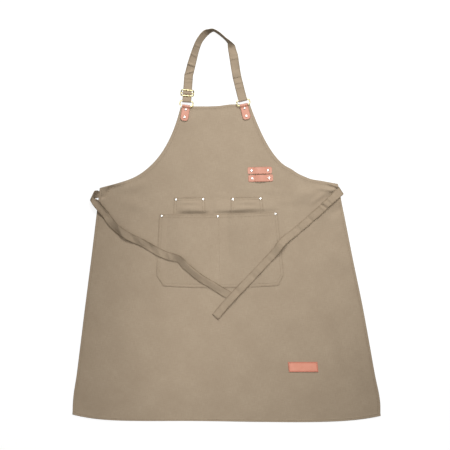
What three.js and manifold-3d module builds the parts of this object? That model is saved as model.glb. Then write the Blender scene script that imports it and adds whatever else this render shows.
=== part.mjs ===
// A canvas work apron lying face up on a flat surface: bib and skirt in one panel, a large
// double pocket over two small ones, leather ring tabs and tool loops, a neck strap with
// rings and slider, two waist ties and a leather label.
// Millimetres. +X runs to the right across the front, +Y from hem to neck, +Z up off the surface.
import * as THREE from "three";
import { mergeVertices } from "three/addons/utils/BufferGeometryUtils.js";
import Module from "manifold-3d";

const wasm = await Module();
wasm.setup();

// Thicknesses and clearances
const GAP = 0.3;            // between pieces that lie on one another
const WRAP_GAP = 0.6;       // between a wire bar and the strap or leather round it
const CLOTH = 1.1;          // one layer of canvas
const BODY_HEM = 2.4;       // body hem, turned under twice
const POCKET_HEM = 2.0;     // pocket hem, turned under once
const HEM_WIDTH = 8;
const POCKET_HEM_WIDTH = 9;
const HEM_SLOPE = 1.5;      // run over which a hem thins to one layer
const STRAP = 1.6;          // folded and sewn strap
const LEATHER = 1.3;

// Widths and wires
const NECK_WIDTH = 22.8;
const TIE_WIDTH = 21;
const TAB_WIDTH = 19;
const LOOP_WIDTH = 18;
const WIRE = 1.7;           // radius of the ring and slider wire
const MIDDLE_BAR = 1.3;     // radius of the slider's hidden middle bar
const CAP = 3.2;            // rivet cap radius
const CAP_RISE = 1.5;
const POST = 1.4;           // rivet post radius
const BACK = 0.8;           // thickness of a rivet's back cap

// Body outline: corners, and the pulls of the two armhole curves
const BIB = { left: [-119.6, 307.3], right: [60.6, 315.1] };
const WAIST = { left: [-329.4, 97.5], right: [289.6, 108.2] };
const HEM = { left: [-401, -489], right: [401, -495], sag: 18.9, roundness: 6 };
const ARMHOLE = {
  left: { topAngle: 14, topPull: 190, lowAngle: 16, lowPull: 70 },
  right: { topAngle: 20, topPull: 180, lowAngle: 10, lowPull: 130 },
};
const SIDE_BOW = { left: 2, right: 4 };
const ARMHOLE_SHARE = 0.375; // share of the rows that lie beside the armholes

// Places where the body is carried above the surface by what lies under it
const LIFTS = [
  { x: -312, y: 82, level: 44, reach: 100, rise: 2.2 },  // left tie root
  { x: 272, y: 88, level: 44, reach: 100, rise: 2.2 },   // right tie root
  { x: -108, y: 293, level: 24, reach: 62, rise: 1.1 },  // backs of the left tab rivets
  { x: 52, y: 297, level: 24, reach: 62, rise: 1.1 },    // backs of the right tab rivets
];

// Soft folds of the body: a ridge from one point to another, half width and height
const FOLDS = [
  { x0: 262, y0: 92, x1: 165, y1: 74, half: 16, rise: 4.0 },
  { x0: 268, y0: 72, x1: 222, y1: -10, half: 17, rise: 3.0 },
  { x0: -290, y0: 92, x1: -205, y1: 112, half: 16, rise: 3.2 },
  { x0: -285, y0: 70, x1: -200, y1: 40, half: 17, rise: 2.2 },
  { x0: 292, y0: -190, x1: 306, y1: -395, half: 17, rise: 3.6 },
  { x0: 340, y0: -230, x1: 362, y1: -430, half: 17, rise: 2.8 },
  { x0: 275, y0: -50, x1: 325, y1: -125, half: 20, rise: 2.6 },
  { x0: -250, y0: -190, x1: -262, y1: -440, half: 34, rise: 2.4 },
];

// Large pocket
const POCKET = {
  mouth: [[-175, 29.9], [132.8, 35.8]], mouthSag: 3.5,
  sideLow: [[-182.5, -128.4], [150, -128.4]],
  bottom: [[-164.6, -157.8], [135.2, -156.3]], bottomSag: 5,
  gape: 8.5, seam: 0.5, margin: 0.145,
};

// Small pockets: four corners, slack of the mouth
const SMALL_POCKETS = {
  left: { top: [[-136.5, 72.8], [-55.8, 74.5]], bottom: [[-141, -8], [-52, -8]], gape: 2.4 },
  right: { top: [[10.9, 73.3], [93, 76]], bottom: [[11, -6], [101, -6]], gape: 2.4 },
};

// Rings, tabs and strap ends: centre of the ring and the headings from +Y towards +X in degrees
const RING = { wide: 34, tall: 13.6, corner: 5.5 };
const NECK_ENDS = {
  left: { x: -103.9, y: 316.4, ring: 6.5, tab: 9, strap: 4 },
  right: { x: 43.6, y: 319.3, ring: -11.5, tab: -13.5, strap: -14 },
};
const TAB = { rivets: [8.4, 28.8], length: 38, round: 7.5 };
const SLIDER = { wide: 32.6, tall: 14.6, corner: 3.5, along: 21, height: 3.6, bow: 4.1 };

// Free run of the neck strap: centre line, and lean of the outer edge off the surface
const NECK_COURSE = [
  { x: -95.9, y: 401.7, lean: 4 },
  { x: -91.8, y: 417.3, lean: 20 },
  { x: -87.9, y: 432.9, lean: 30 },
  { x: -84.5, y: 448.5, lean: 38 },
  { x: -78.8, y: 464.1, lean: 42 },
  { x: -72.0, y: 479.7, lean: 46 },
  { x: -61.1, y: 495.3, lean: 54 },
  { x: -48.1, y: 504.9, lean: 66 },
  { x: -34.3, y: 508.4, lean: 75 },
  { x: -22.1, y: 502.6, lean: 77 },
  { x: -10.4, y: 493.0, lean: 77 },
  { x: 2.1, y: 482.6, lean: 74 },
  { x: 10.9, y: 472.3, lean: 52 },
  { x: 14.6, y: 461.0, lean: 14 },
  { x: 16.6, y: 448.5, lean: 0 },
  { x: 20.2, y: 425.1, lean: 0 },
  { x: 24.2, y: 403.5, lean: 0 },
];

// Waist ties: the folded-over end beyond the body, then the run over the front.
// "raise" lifts the strap clear of what it crosses, "lean" tips up the edge on its left hand.
const TIES = {
  left: {
    root: [-286, 84], fold: [-346, 78.5], foldHeading: 57, foldTop: 6.6,
    course: [
      { x: -332.8, y: 54.6, lean: 0, raise: 0 },
      { x: -316.9, y: 29.9, lean: 0, raise: 0 },
      { x: -300.3, y: 5.2, lean: 14, raise: 0 },
      { x: -282.1, y: -14.3, lean: 28, raise: 0 },
      { x: -258.7, y: -27.3, lean: 8, raise: 0 },
      { x: -234.0, y: -37.2, lean: 0, raise: 0 },
      { x: -200.7, y: -53.3, lean: 0, raise: 0.4 },
      { x: -172.9, y: -68.9, lean: 0, raise: 0.4 },
      { x: -141.7, y: -81.4, lean: 5, raise: 0 },
      { x: -120.9, y: -88.4, lean: 26, raise: 0 },
      { x: -104.0, y: -104.0, lean: 14, raise: 0 },
      { x: -84.5, y: -123.0, lean: 9, raise: 0 },
      { x: -61.1, y: -140.4, lean: 7, raise: 0 },
      { x: -32.5, y: -158.3, lean: 3, raise: 0 },
      { x: 11.7, y: -184.1, lean: 0, raise: 0 },
    ],
  },
  right: {
    root: [252, 78], fold: [299.0, 92.0], foldHeading: -58, foldTop: 6.3,
    course: [
      { x: 275.6, y: 70.2, lean: 0, raise: 0 },
      { x: 255.6, y: 51.2, lean: 0, raise: 0 },
      { x: 226.2, y: 24.7, lean: 0, raise: 0 },
      { x: 198.9, y: 1.3, lean: 0, raise: 0 },
      { x: 175.5, y: -17.4, lean: 0, raise: 0.5 },
      { x: 144.3, y: -46.5, lean: 0, raise: 2.5 },
      { x: 109.2, y: -87.1, lean: 0, raise: 0.3 },
      { x: 75.4, y: -120.9, lean: 0, raise: 0 },
      { x: 41.6, y: -156.8, lean: 0, raise: 2.4 },
      { x: 15.0, y: -186.6, lean: 0, raise: 3.6 },
      { x: -8.0, y: -213.5, lean: 0, raise: 1.4 },
      { x: -28.6, y: -237.9, lean: 0, raise: 0 },
    ],
  },
};

// Tool loops: centre, length, heading of the strip, rivet spacing, rise of the open middle
const LOOPS = {
  upper: { x: 86.6, y: 143, long: 63.4, heading: 1.2, rivets: 42.4, rise: 5.4 },
  lower: { x: 88.9, y: 123, long: 64.4, heading: 1.6, rivets: 43.6, rise: 5.4 },
};
const LOOP_ROUND = 4;

const LABEL = { x: 199.2, y: -367.8, long: 76.5, tall: 26, slant: 2.8 };

// Rivets of the pockets
const POCKET_RIVETS = {
  left: [-168.5, 24.4], middle: [-22.4, 23.7], right: [127.7, 30.2],
  small_left_1: [-131.6, 67.3], small_left_2: [-60.6, 68.6],
  small_right_1: [16.0, 67.8], small_right_2: [87.9, 70.0],
};

const clamp = THREE.MathUtils.clamp;
const lerp = THREE.MathUtils.lerp;
const radians = THREE.MathUtils.degToRad;
const UP = new THREE.Vector3(0, 0, 1);
const mix2 = (a, b, t) => [lerp(a[0], b[0], t), lerp(a[1], b[1], t)];
const heading2 = (degrees) => new THREE.Vector3(Math.sin(radians(degrees)), Math.cos(radians(degrees)), 0);
const ease = (t) => THREE.MathUtils.smoothstep(t, 0, 1);

// Height of the body's underside hem above the surface
function bodyBase(x, y) {
  let z = 0;
  for (const lift of LIFTS) {
    const far = Math.hypot(x - lift.x, y - lift.y);
    z = Math.max(z, lift.rise * ease((lift.reach - far) / (lift.reach - lift.level)));
  }
  for (const fold of FOLDS) {
    const run = [fold.x1 - fold.x0, fold.y1 - fold.y0];
    const long = Math.hypot(...run);
    const along = ((x - fold.x0) * run[0] + (y - fold.y0) * run[1]) / long ** 2;
    const aside = ((x - fold.x0) * run[1] - (y - fold.y0) * run[0]) / long;
    const taper = Math.sin(Math.PI * clamp(along, 0, 1));
    z += fold.rise * taper * Math.exp(-((aside / fold.half) ** 2));
  }
  return z;
}
const bodyTop = (x, y) => bodyBase(x, y) + BODY_HEM;

// The armhole from the bib corner to the waist corner, side is -1 on the left and 1 on the right
function armhole(top, low, pulls, side) {
  const a = radians(pulls.topAngle);
  const b = radians(pulls.lowAngle);
  return new THREE.CubicBezierCurve(
    new THREE.Vector2(...top),
    new THREE.Vector2(top[0] + side * pulls.topPull * Math.sin(a), top[1] - pulls.topPull * Math.cos(a)),
    new THREE.Vector2(low[0] - side * pulls.lowPull * Math.cos(b), low[1] + pulls.lowPull * Math.sin(b)),
    new THREE.Vector2(...low),
  );
}

// One side edge of the body from the bib corner (v = 0) to the hem corner (v = 1)
function bodySide(name, side) {
  const curve = armhole(BIB[name], WAIST[name], ARMHOLE[name], side);
  return (v) => {
    if (v <= ARMHOLE_SHARE) return curve.getPoint(v / ARMHOLE_SHARE).toArray();
    const t = (v - ARMHOLE_SHARE) / (1 - ARMHOLE_SHARE);
    const point = mix2(WAIST[name], HEM[name], t);
    return [point[0] + side * SIDE_BOW[name] * 4 * t * (1 - t), point[1]];
  };
}

const BODY_EDGES = {
  left: bodySide("left", -1),
  right: bodySide("right", 1),
  top: (u) => [lerp(BIB.left[0], BIB.right[0], u), lerp(BIB.left[1], BIB.right[1], ease((u - 0.4) / 0.35))],
  bottom: (u) => {
    const point = mix2(HEM.left, HEM.right, u);
    return [point[0], point[1] - HEM.sag * (1 - Math.abs(2 * u - 1) ** HEM.roundness)];
  },
};

// Edges of a pocket panel whose sides may be cut off at the lower corners
function pocketEdges(mouth, mouthSag, sideLow, bottom, bottomSag, cut) {
  const sideEdge = (k) => (v) =>
    v <= cut ? mix2(mouth[k], sideLow[k], v / cut) : mix2(sideLow[k], bottom[k], (v - cut) / (1 - cut));
  const sagging = (pair, sag) => (u) => {
    const point = mix2(pair[0], pair[1], u);
    return [point[0], point[1] - sag * 4 * u * (1 - u)];
  };
  return { left: sideEdge(0), right: sideEdge(1), top: sagging(mouth, mouthSag), bottom: sagging(bottom, bottomSag) };
}
const LARGE_EDGES = pocketEdges(POCKET.mouth, POCKET.mouthSag, POCKET.sideLow, POCKET.bottom, POCKET.bottomSag, 0.8);

// How far the large pocket stands off the body: two lobes, widest at the mouth
function largeGape(x, y) {
  const down = clamp((POCKET.mouth[0][1] - y) / (POCKET.mouth[0][1] - POCKET.sideLow[0][1]), 0, 1);
  const left = lerp(POCKET.mouth[0][0], POCKET.sideLow[0][0], down);
  const right = lerp(POCKET.mouth[1][0], POCKET.sideLow[1][0], down);
  const across = (x - left) / (right - left);
  const lobe = across < POCKET.seam ? across / POCKET.seam : (across - POCKET.seam) / (1 - POCKET.seam);
  const swell = Math.sin(Math.PI * clamp((lobe - POCKET.margin) / (1 - 2 * POCKET.margin), 0, 1));
  const deep = clamp((31 - y) / 184, 0, 1);
  return POCKET.gape * swell * Math.cos(Math.PI / 2 * deep) ** 0.9;
}
const largeTop = (x, y) => bodyTop(x, y) + GAP + POCKET_HEM + largeGape(x, y);

// Top of a small pocket, slack at its mouth and flat lower down
function smallTop(pocket) {
  return (x, y) => {
    const down = clamp((pocket.top[0][1] - y) / (pocket.top[0][1] - pocket.bottom[0][1]), 0, 1);
    const left = lerp(pocket.top[0][0], pocket.bottom[0][0], down);
    const right = lerp(pocket.top[1][0], pocket.bottom[1][0], down);
    const across = clamp(((x - left) / (right - left) - 0.13) / 0.74, 0, 1);
    return bodyTop(x, y) + GAP + POCKET_HEM + pocket.gape * Math.sin(Math.PI * across) * (1 - down) ** 1.5;
  };
}

// A closed solid from points and quads or triangles, turned outside out if need be
function closedSolid(points, faces) {
  const triangles = [];
  for (const face of faces) {
    for (let k = 2; k < face.length; k += 1) triangles.push(face[0], face[k - 1], face[k]);
  }
  let volume = 0;
  for (let k = 0; k < triangles.length; k += 3) {
    const [a, b, c] = [points[triangles[k]], points[triangles[k + 1]], points[triangles[k + 2]]];
    volume += a.dot(new THREE.Vector3().crossVectors(b, c));
  }
  const geometry = new THREE.BufferGeometry().setFromPoints(points);
  geometry.setIndex(volume < 0 ? triangles.reverse() : triangles);
  return geometry;
}

const toManifold = (geometry) => new wasm.Manifold(new wasm.Mesh({
  numProp: 3,
  vertProperties: new Float32Array(geometry.attributes.position.array),
  triVerts: new Uint32Array(geometry.index.array),
}));

function fromManifold(manifold) {
  const mesh = manifold.getMesh();
  const geometry = new THREE.BufferGeometry();
  geometry.setAttribute("position", new THREE.BufferAttribute(new Float32Array(mesh.vertProperties), 3));
  geometry.setIndex(new THREE.BufferAttribute(new Uint32Array(mesh.triVerts), 1));
  return geometry;
}

function welded(geometry) {
  geometry.deleteAttribute("uv");
  geometry.deleteAttribute("normal");
  return mergeVertices(geometry, 1e-3);
}

// Holes for rivet posts through a solid
function punched(geometry, places) {
  let solid = toManifold(geometry);
  for (const [x, y] of places) {
    const pin = new THREE.CylinderGeometry(POST + GAP, POST + GAP, 60, 8);
    pin.rotateX(Math.PI / 2);
    pin.rotateZ(0.2);
    pin.translate(x, y, 0);
    solid = solid.subtract(toManifold(welded(pin)));
  }
  return fromManifold(solid.simplify(0.005));
}

// Points of a closed loop moved inwards, the loop runs clockwise seen from above
function insetLoop(loop, distance) {
  return loop.map((here, k) => {
    const before = loop[(k + loop.length - 1) % loop.length];
    const after = loop[(k + 1) % loop.length];
    const normals = [[before, here], [here, after]].map(([p, q]) => {
      const long = Math.hypot(q[0] - p[0], q[1] - p[1]);
      return [(q[1] - p[1]) / long, -(q[0] - p[0]) / long];
    });
    const share = distance / (1 + normals[0][0] * normals[1][0] + normals[0][1] * normals[1][1]);
    return [here[0] + share * (normals[0][0] + normals[1][0]), here[1] + share * (normals[0][1] + normals[1][1])];
  });
}

// A cloth panel between four edges, with a thicker hem all round and its top at a given height
function panelSolid(edges, columns, rows, hemWidth, hemThick, topHeight) {
  const outline = [];
  for (let i = 0; i < columns; i += 1) outline.push(edges.top(i / columns));
  for (let j = 0; j < rows; j += 1) outline.push(edges.right(j / rows));
  for (let i = columns; i > 0; i -= 1) outline.push(edges.bottom(i / columns));
  for (let j = rows; j > 0; j -= 1) outline.push(edges.left(j / rows));
  const count = outline.length;
  const hemLine = insetLoop(outline, hemWidth);
  const inner = insetLoop(outline, hemWidth + HEM_SLOPE);
  const ringIndex = (i, j) => {
    if (j === 0) return i;
    if (i === columns) return columns + j;
    if (j === rows) return 2 * columns + rows - i;
    return (2 * columns + 2 * rows - j) % count;
  };
  const layout = [...outline.map((p) => [...p, hemThick]), ...hemLine.map((p) => [...p, hemThick])];
  const corner = (i, j) => inner[ringIndex(i, j)];
  for (let j = 0; j <= rows; j += 1) {
    for (let i = 0; i <= columns; i += 1) {
      const [u, v] = [i / columns, j / rows];
      const blend = (k) =>
        lerp(corner(0, j)[k], corner(columns, j)[k], u) + lerp(corner(i, 0)[k], corner(i, rows)[k], v)
        - lerp(lerp(corner(0, 0)[k], corner(columns, 0)[k], u), lerp(corner(0, rows)[k], corner(columns, rows)[k], u), v);
      const edge = i === 0 || j === 0 || i === columns || j === rows;
      const point = edge ? corner(i, j) : [blend(0), blend(1)];
      layout.push([point[0], point[1], CLOTH]);
    }
  }
  const grid = (i, j) => 2 * count + j * (columns + 1) + i;
  const gridRing = [];
  for (let i = 0; i < columns; i += 1) gridRing.push(grid(i, 0));
  for (let j = 0; j < rows; j += 1) gridRing.push(grid(columns, j));
  for (let i = columns; i > 0; i -= 1) gridRing.push(grid(i, rows));
  for (let j = rows; j > 0; j -= 1) gridRing.push(grid(0, j));
  const upper = [];
  for (let k = 0; k < count; k += 1) {
    const next = (k + 1) % count;
    upper.push([count + k, count + next, next, k]);
    upper.push([gridRing[k], gridRing[next], count + next, count + k]);
  }
  for (let j = 0; j < rows; j += 1) {
    for (let i = 0; i < columns; i += 1) upper.push([grid(i, j + 1), grid(i + 1, j + 1), grid(i + 1, j), grid(i, j)]);
  }
  const total = layout.length;
  const tops = layout.map(([x, y]) => new THREE.Vector3(x, y, topHeight(x, y)));
  const points = [...tops, ...tops.map((p, k) => new THREE.Vector3(p.x, p.y, p.z - layout[k][2]))];
  const lower = upper.map((face) => face.map((k) => k + total).reverse());
  const rim = outline.map((_, k) => [total + (k + 1) % count, total + k, k, (k + 1) % count]);
  return closedSolid(points, [...upper, ...lower, ...rim]);
}

// A flat strip through sections, each a centre, a half-width vector and a unit face normal
function stripSolid(sections, thick) {
  const points = [];
  for (const { c, a, n } of sections) {
    for (const [side, face] of [[-1, -1], [1, -1], [1, 1], [-1, 1]]) {
      points.push(c.clone().addScaledVector(a, side).addScaledVector(n, face * thick / 2));
    }
  }
  const last = 4 * (sections.length - 1);
  const faces = [[0, 1, 2, 3], [last + 3, last + 2, last + 1, last]];
  for (let k = 0; k < last; k += 4) {
    for (let e = 0; e < 4; e += 1) faces.push([k + 4 + e, k + 4 + (e + 1) % 4, k + (e + 1) % 4, k + e]);
  }
  return closedSolid(points, faces);
}

// Points on an arc in a side view, angles in degrees
function arcPoints(along, height, radius, from, to, steps) {
  return Array.from({ length: steps + 1 }, (_, k) => {
    const angle = radians(lerp(from, to, k / steps));
    return new THREE.Vector2(along + radius * Math.cos(angle), height + radius * Math.sin(angle));
  });
}

// Sections of a strip whose side view is a line of points (along, height) on a straight heading
function profileSections(profile, origin, heading, halfWidth) {
  const along = heading2(heading);
  const right = new THREE.Vector3().crossVectors(along, UP);
  return profile.map((point, k) => {
    const run = profile[Math.min(k + 1, profile.length - 1)].clone().sub(profile[Math.max(k - 1, 0)]).normalize();
    const c = new THREE.Vector3(origin.x, origin.y, 0).addScaledVector(along, point.x).addScaledVector(UP, point.y);
    const n = along.clone().multiplyScalar(-run.y).addScaledVector(UP, run.x);
    return { c, a: right.clone().multiplyScalar(halfWidth(k)), n };
  });
}

// Rows of a course drawn as a smooth line with the given steps to each row
function smoothCourse(rows, steps) {
  const line = new THREE.CatmullRomCurve3(rows.map((row) => new THREE.Vector3(row.x, row.y, row.lean)));
  const raises = new THREE.CatmullRomCurve3(rows.map((row) => new THREE.Vector3(row.raise ?? 0, 0, 0)));
  const count = steps * (rows.length - 1);
  return Array.from({ length: count + 1 }, (_, k) => {
    const point = line.getPoint(k / count);
    const tangent = line.getTangent(k / count).setZ(0).normalize();
    return { x: point.x, y: point.y, lean: point.z, raise: Math.max(0, raises.getPoint(k / count).x), tangent };
  });
}

// A strip section lying over something: its low edge stays above the support
function lyingSection(spot, width, support) {
  const right = new THREE.Vector3().crossVectors(spot.tangent, UP);
  const lean = radians(spot.lean);
  const half = width / 2;
  const a = right.clone().multiplyScalar(Math.cos(lean)).addScaledVector(UP, -Math.sin(lean));
  const n = UP.clone().multiplyScalar(Math.cos(lean)).addScaledVector(right, Math.sin(lean));
  const z = support + spot.raise + STRAP / 2 * Math.cos(lean) + half * Math.abs(Math.sin(lean));
  return { c: new THREE.Vector3(spot.x, spot.y, z), a: a.multiplyScalar(half), n };
}

// A wire bent along a closed line of points
function wireLoop(line, radius, sides) {
  const count = line.length;
  const points = [];
  line.forEach((here, k) => {
    const tangent = line[(k + 1) % count].clone().sub(line[(k + count - 1) % count]).normalize();
    const side = new THREE.Vector3().crossVectors(tangent, UP).normalize();
    const rise = new THREE.Vector3().crossVectors(side, tangent);
    for (let s = 0; s < sides; s += 1) {
      const angle = 2 * Math.PI * (s + 0.5) / sides;
      points.push(here.clone().addScaledVector(side, radius * Math.cos(angle)).addScaledVector(rise, radius * Math.sin(angle)));
    }
  });
  const faces = [];
  for (let k = 0; k < count; k += 1) {
    for (let s = 0; s < sides; s += 1) {
      const next = (s + 1) % sides;
      const ahead = (k + 1) % count;
      faces.push([k * sides + s, k * sides + next, ahead * sides + next, ahead * sides + s]);
    }
  }
  return closedSolid(points, faces);
}

// Centre line of a rounded rectangle, its long side across the heading
function roundedLoop(wide, tall, corner, steps) {
  const points = [];
  for (const [sx, sy, start] of [[1, 1, 0], [-1, 1, 90], [-1, -1, 180], [1, -1, 270]]) {
    for (let k = 0; k <= steps; k += 1) {
      const angle = radians(start + 90 * k / steps);
      points.push([sx * (wide / 2 - corner) + corner * Math.cos(angle), sy * (tall / 2 - corner) + corner * Math.sin(angle)]);
    }
  }
  return points;
}

// Half width of a strip whose corners are rounded at the given distance from its end
const roundedHalf = (half, round, fromEnd) =>
  fromEnd >= round ? half : half - round + Math.sqrt(round ** 2 - (round - fromEnd) ** 2);

function insideOutline(edges, x, y) {
  const steps = 60;
  const loop = [];
  for (let k = 0; k < steps; k += 1) loop.push(edges.top(k / steps));
  for (let k = 0; k < steps; k += 1) loop.push(edges.right(k / steps));
  for (let k = steps; k > 0; k -= 1) loop.push(edges.bottom(k / steps));
  for (let k = steps; k > 0; k -= 1) loop.push(edges.left(k / steps));
  let inside = false;
  loop.forEach(([x1, y1], k) => {
    const [x0, y0] = loop[(k + loop.length - 1) % loop.length];
    if ((y1 > y) !== (y0 > y) && x < (x0 - x1) * (y - y1) / (y0 - y1) + x1) inside = !inside;
  });
  return inside;
}

// What a tie lies on at a place: surface, body or large pocket
function supportAt(x, y) {
  if (insideOutline(LARGE_EDGES, x, y)) return largeTop(x, y);
  return insideOutline(BODY_EDGES, x, y) ? bodyTop(x, y) : 0;
}

// A waist tie: root behind the body, turned over at a slanted fold, then along its course
function tieSections(tie) {
  const root = new THREE.Vector3(...tie.root, 0.1 + STRAP / 2);
  const fold = new THREE.Vector3(...tie.fold, 0);
  const run = fold.clone().sub(root).setZ(0).normalize();
  const low = root.z;
  const high = tie.foldTop;
  const radius = (high - low) / 2;
  const line = new THREE.Vector3(Math.cos(radians(tie.foldHeading)), Math.sin(radians(tie.foldHeading)), 0);
  const right = new THREE.Vector3().crossVectors(run, UP);
  if (line.dot(right) < 0) line.negate();
  const outward = new THREE.Vector3().crossVectors(UP, line);
  if (outward.dot(run) < 0) outward.negate();
  const crossHalf = TIE_WIDTH / 2 / Math.abs(line.dot(right));
  const sections = [{ c: root, a: right.clone().multiplyScalar(TIE_WIDTH / 2), n: UP.clone() }];
  const turns = 6;
  for (let k = 0; k <= turns; k += 1) {
    const angle = Math.PI * k / turns;
    const c = fold.clone().addScaledVector(outward, radius * (Math.sin(angle) - 1));
    c.z = low + radius * (1 - Math.cos(angle));
    const n = outward.clone().multiplyScalar(-Math.sin(angle)).addScaledVector(UP, Math.cos(angle));
    sections.push({ c, a: line.clone().multiplyScalar(crossHalf), n });
  }
  const reach = [-9, -4.5, 0, 4.5, 9];
  for (const spot of smoothCourse(tie.course, 2)) {
    const side = new THREE.Vector3().crossVectors(spot.tangent, UP);
    let support = 0;
    for (const ahead of reach) {
      for (const aside of [-TIE_WIDTH / 2, -TIE_WIDTH / 4, 0, TIE_WIDTH / 4, TIE_WIDTH / 2]) {
        const x = spot.x + spot.tangent.x * ahead + side.x * aside;
        const y = spot.y + spot.tangent.y * ahead + side.y * aside;
        support = Math.max(support, supportAt(x, y));
      }
    }
    const section = lyingSection(spot, TIE_WIDTH, support + 2 * GAP);
    sections.push({ c: section.c, a: section.a.negate(), n: section.n.negate() });
  }
  return sections;
}

const MATERIALS = {
  canvas: new THREE.MeshStandardMaterial({ color: 0xad9c86, roughness: 0.95 }),
  leather: new THREE.MeshStandardMaterial({ color: 0xdba794, roughness: 0.7 }),
  brass: new THREE.MeshStandardMaterial({ color: 0xd8b66a, metalness: 1, roughness: 0.25 }),
  nickel: new THREE.MeshStandardMaterial({ color: 0xe4e4e0, metalness: 1, roughness: 0.2 }),
};
const apron = new THREE.Group();
apron.name = "canvas_apron";

function addPiece(name, geometry, material) {
  const mesh = new THREE.Mesh(geometry, MATERIALS[material]);
  mesh.name = name;
  apron.add(mesh);
}

// A rivet from just under its lowest layer to just over its top layer
function addRivet(name, x, y, low, high) {
  const profile = [
    [0, low - BACK], [CAP - 0.3, low - BACK], [CAP - 0.3, low], [POST, low], [POST, high], [CAP, high],
    [CAP * 0.95, high + CAP_RISE * 0.45], [CAP * 0.6, high + CAP_RISE * 0.88], [0, high + CAP_RISE],
  ];
  const geometry = new THREE.LatheGeometry(profile.map((p) => new THREE.Vector2(...p)), 8);
  geometry.rotateX(Math.PI / 2);
  geometry.translate(x, y, 0);
  addPiece(name, welded(geometry), "nickel");
}

// Ring places along each neck end: bar under the tab, bar in the strap
const BACK_LEAF = LIFTS[2].rise + BODY_HEM + GAP + LEATHER / 2;
const FRONT_LEAF = BACK_LEAF + LEATHER + GAP;
const TAB_WRAP = WIRE + WRAP_GAP + LEATHER / 2;
const STRAP_WRAP = WIRE + WRAP_GAP + STRAP / 2;
const RING_HEIGHT = BACK_LEAF + TAB_WRAP;
function ringBars(end) {
  const toward = heading2(end.ring).multiplyScalar(RING.tall / 2);
  const centre = new THREE.Vector3(end.x, end.y, 0);
  return { tabBar: centre.clone().sub(toward), strapBar: centre.clone().add(toward) };
}

// Rings
for (const [name, end] of Object.entries(NECK_ENDS)) {
  const line = roundedLoop(RING.wide, RING.tall, RING.corner, 4).map(([across, along]) => {
    const forward = heading2(end.ring);
    const right = new THREE.Vector3().crossVectors(forward, UP);
    return new THREE.Vector3(end.x, end.y, RING_HEIGHT).addScaledVector(right, across).addScaledVector(forward, along);
  });
  addPiece(`strap_ring_${name}`, wireLoop(line, WIRE, 8), "brass");
}

// Ring tabs: front leaf, turn round the bar, back leaf, two rivets
const tabRivets = [];
for (const [name, end] of Object.entries(NECK_ENDS)) {
  const { tabBar } = ringBars(end);
  const frontEnds = [0, 0.6, 2, 4.5, TAB.round, 18, 28];
  const front = [...frontEnds.map((e) => new THREE.Vector2(e - TAB.length, FRONT_LEAF)), new THREE.Vector2(-5.2, FRONT_LEAF)];
  const turn = arcPoints(0, RING_HEIGHT, TAB_WRAP, 140, -90, 9);
  const back = [...frontEnds].reverse().map((e) => new THREE.Vector2(e - TAB.length, BACK_LEAF));
  const profile = [...front, ...turn, ...back];
  const halves = profile.map((p, k) => (k < front.length || k >= front.length + turn.length
    ? roundedHalf(TAB_WIDTH / 2, TAB.round, p.x + TAB.length + 0.02 * TAB.round) : TAB_WIDTH / 2));
  const down = heading2(end.tab).negate();
  const places = TAB.rivets.map((d) => [tabBar.x + down.x * d, tabBar.y + down.y * d]);
  const strip = stripSolid(profileSections(profile, tabBar, end.tab, (k) => halves[k]), LEATHER);
  addPiece(`ring_tab_${name}`, punched(strip, places), "leather");
  places.forEach(([x, y], k) =>
    addRivet(`rivet_tab_${name}_${k + 1}`, x, y, bodyBase(x, y) - GAP, FRONT_LEAF + LEATHER / 2 + GAP));
  tabRivets.push(...places);
}

// Slider: bowed frame and middle bar
const leftEnd = NECK_ENDS.left;
const leftBar = ringBars(leftEnd).strapBar;
const strapForward = heading2(leftEnd.strap);
const strapRight = new THREE.Vector3().crossVectors(strapForward, UP);
const sliderLine = roundedLoop(SLIDER.wide, SLIDER.tall, SLIDER.corner, 3);
sliderLine.splice(8, 0, [-SLIDER.wide / 2, 0]);
sliderLine.push([SLIDER.wide / 2, 0]);
const sliderPoints = sliderLine.map(([across, along]) => new THREE.Vector3(
  leftBar.x, leftBar.y, SLIDER.height + SLIDER.bow * (2 * along / SLIDER.tall) ** 2)
  .addScaledVector(strapForward, SLIDER.along + along).addScaledVector(strapRight, across));
const middleBar = new THREE.CylinderGeometry(MIDDLE_BAR, MIDDLE_BAR, SLIDER.wide, 8);
middleBar.rotateZ(Math.PI / 2 - radians(leftEnd.strap));
middleBar.translate(...leftBar.clone().addScaledVector(strapForward, SLIDER.along).setZ(SLIDER.height).toArray());
addPiece("strap_slider", fromManifold(toManifold(wireLoop(sliderPoints, WIRE, 8)).add(toManifold(welded(middleBar)))), "brass");

// Neck strap: end round the slider's middle bar, back to the ring, over the slider, free run, right ring
const barWrap = MIDDLE_BAR + GAP + STRAP / 2;
const underFrame = SLIDER.height + SLIDER.bow - WIRE - GAP - STRAP / 2;
const overBar = SLIDER.height + barWrap + STRAP + GAP;
const flatStrap = 0.1 + STRAP / 2;
const halfFrame = SLIDER.tall / 2;
const smoothProfile = (rows, steps) => new THREE.SplineCurve(rows.map((p) => new THREE.Vector2(...p))).getPoints(steps);
const leftProfile = [
  ...arcPoints(SLIDER.along, SLIDER.height, barWrap, 180, -90, 7),
  ...arcPoints(0, RING_HEIGHT, STRAP_WRAP, -90, -270, 6),
  ...smoothProfile([
    [0, RING_HEIGHT + STRAP_WRAP], [6, RING_HEIGHT + 1], [SLIDER.along - halfFrame, underFrame], [SLIDER.along, overBar],
    [SLIDER.along + halfFrame, underFrame], [46, 2.2], [70, flatStrap],
  ], 24).slice(1),
];
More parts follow.
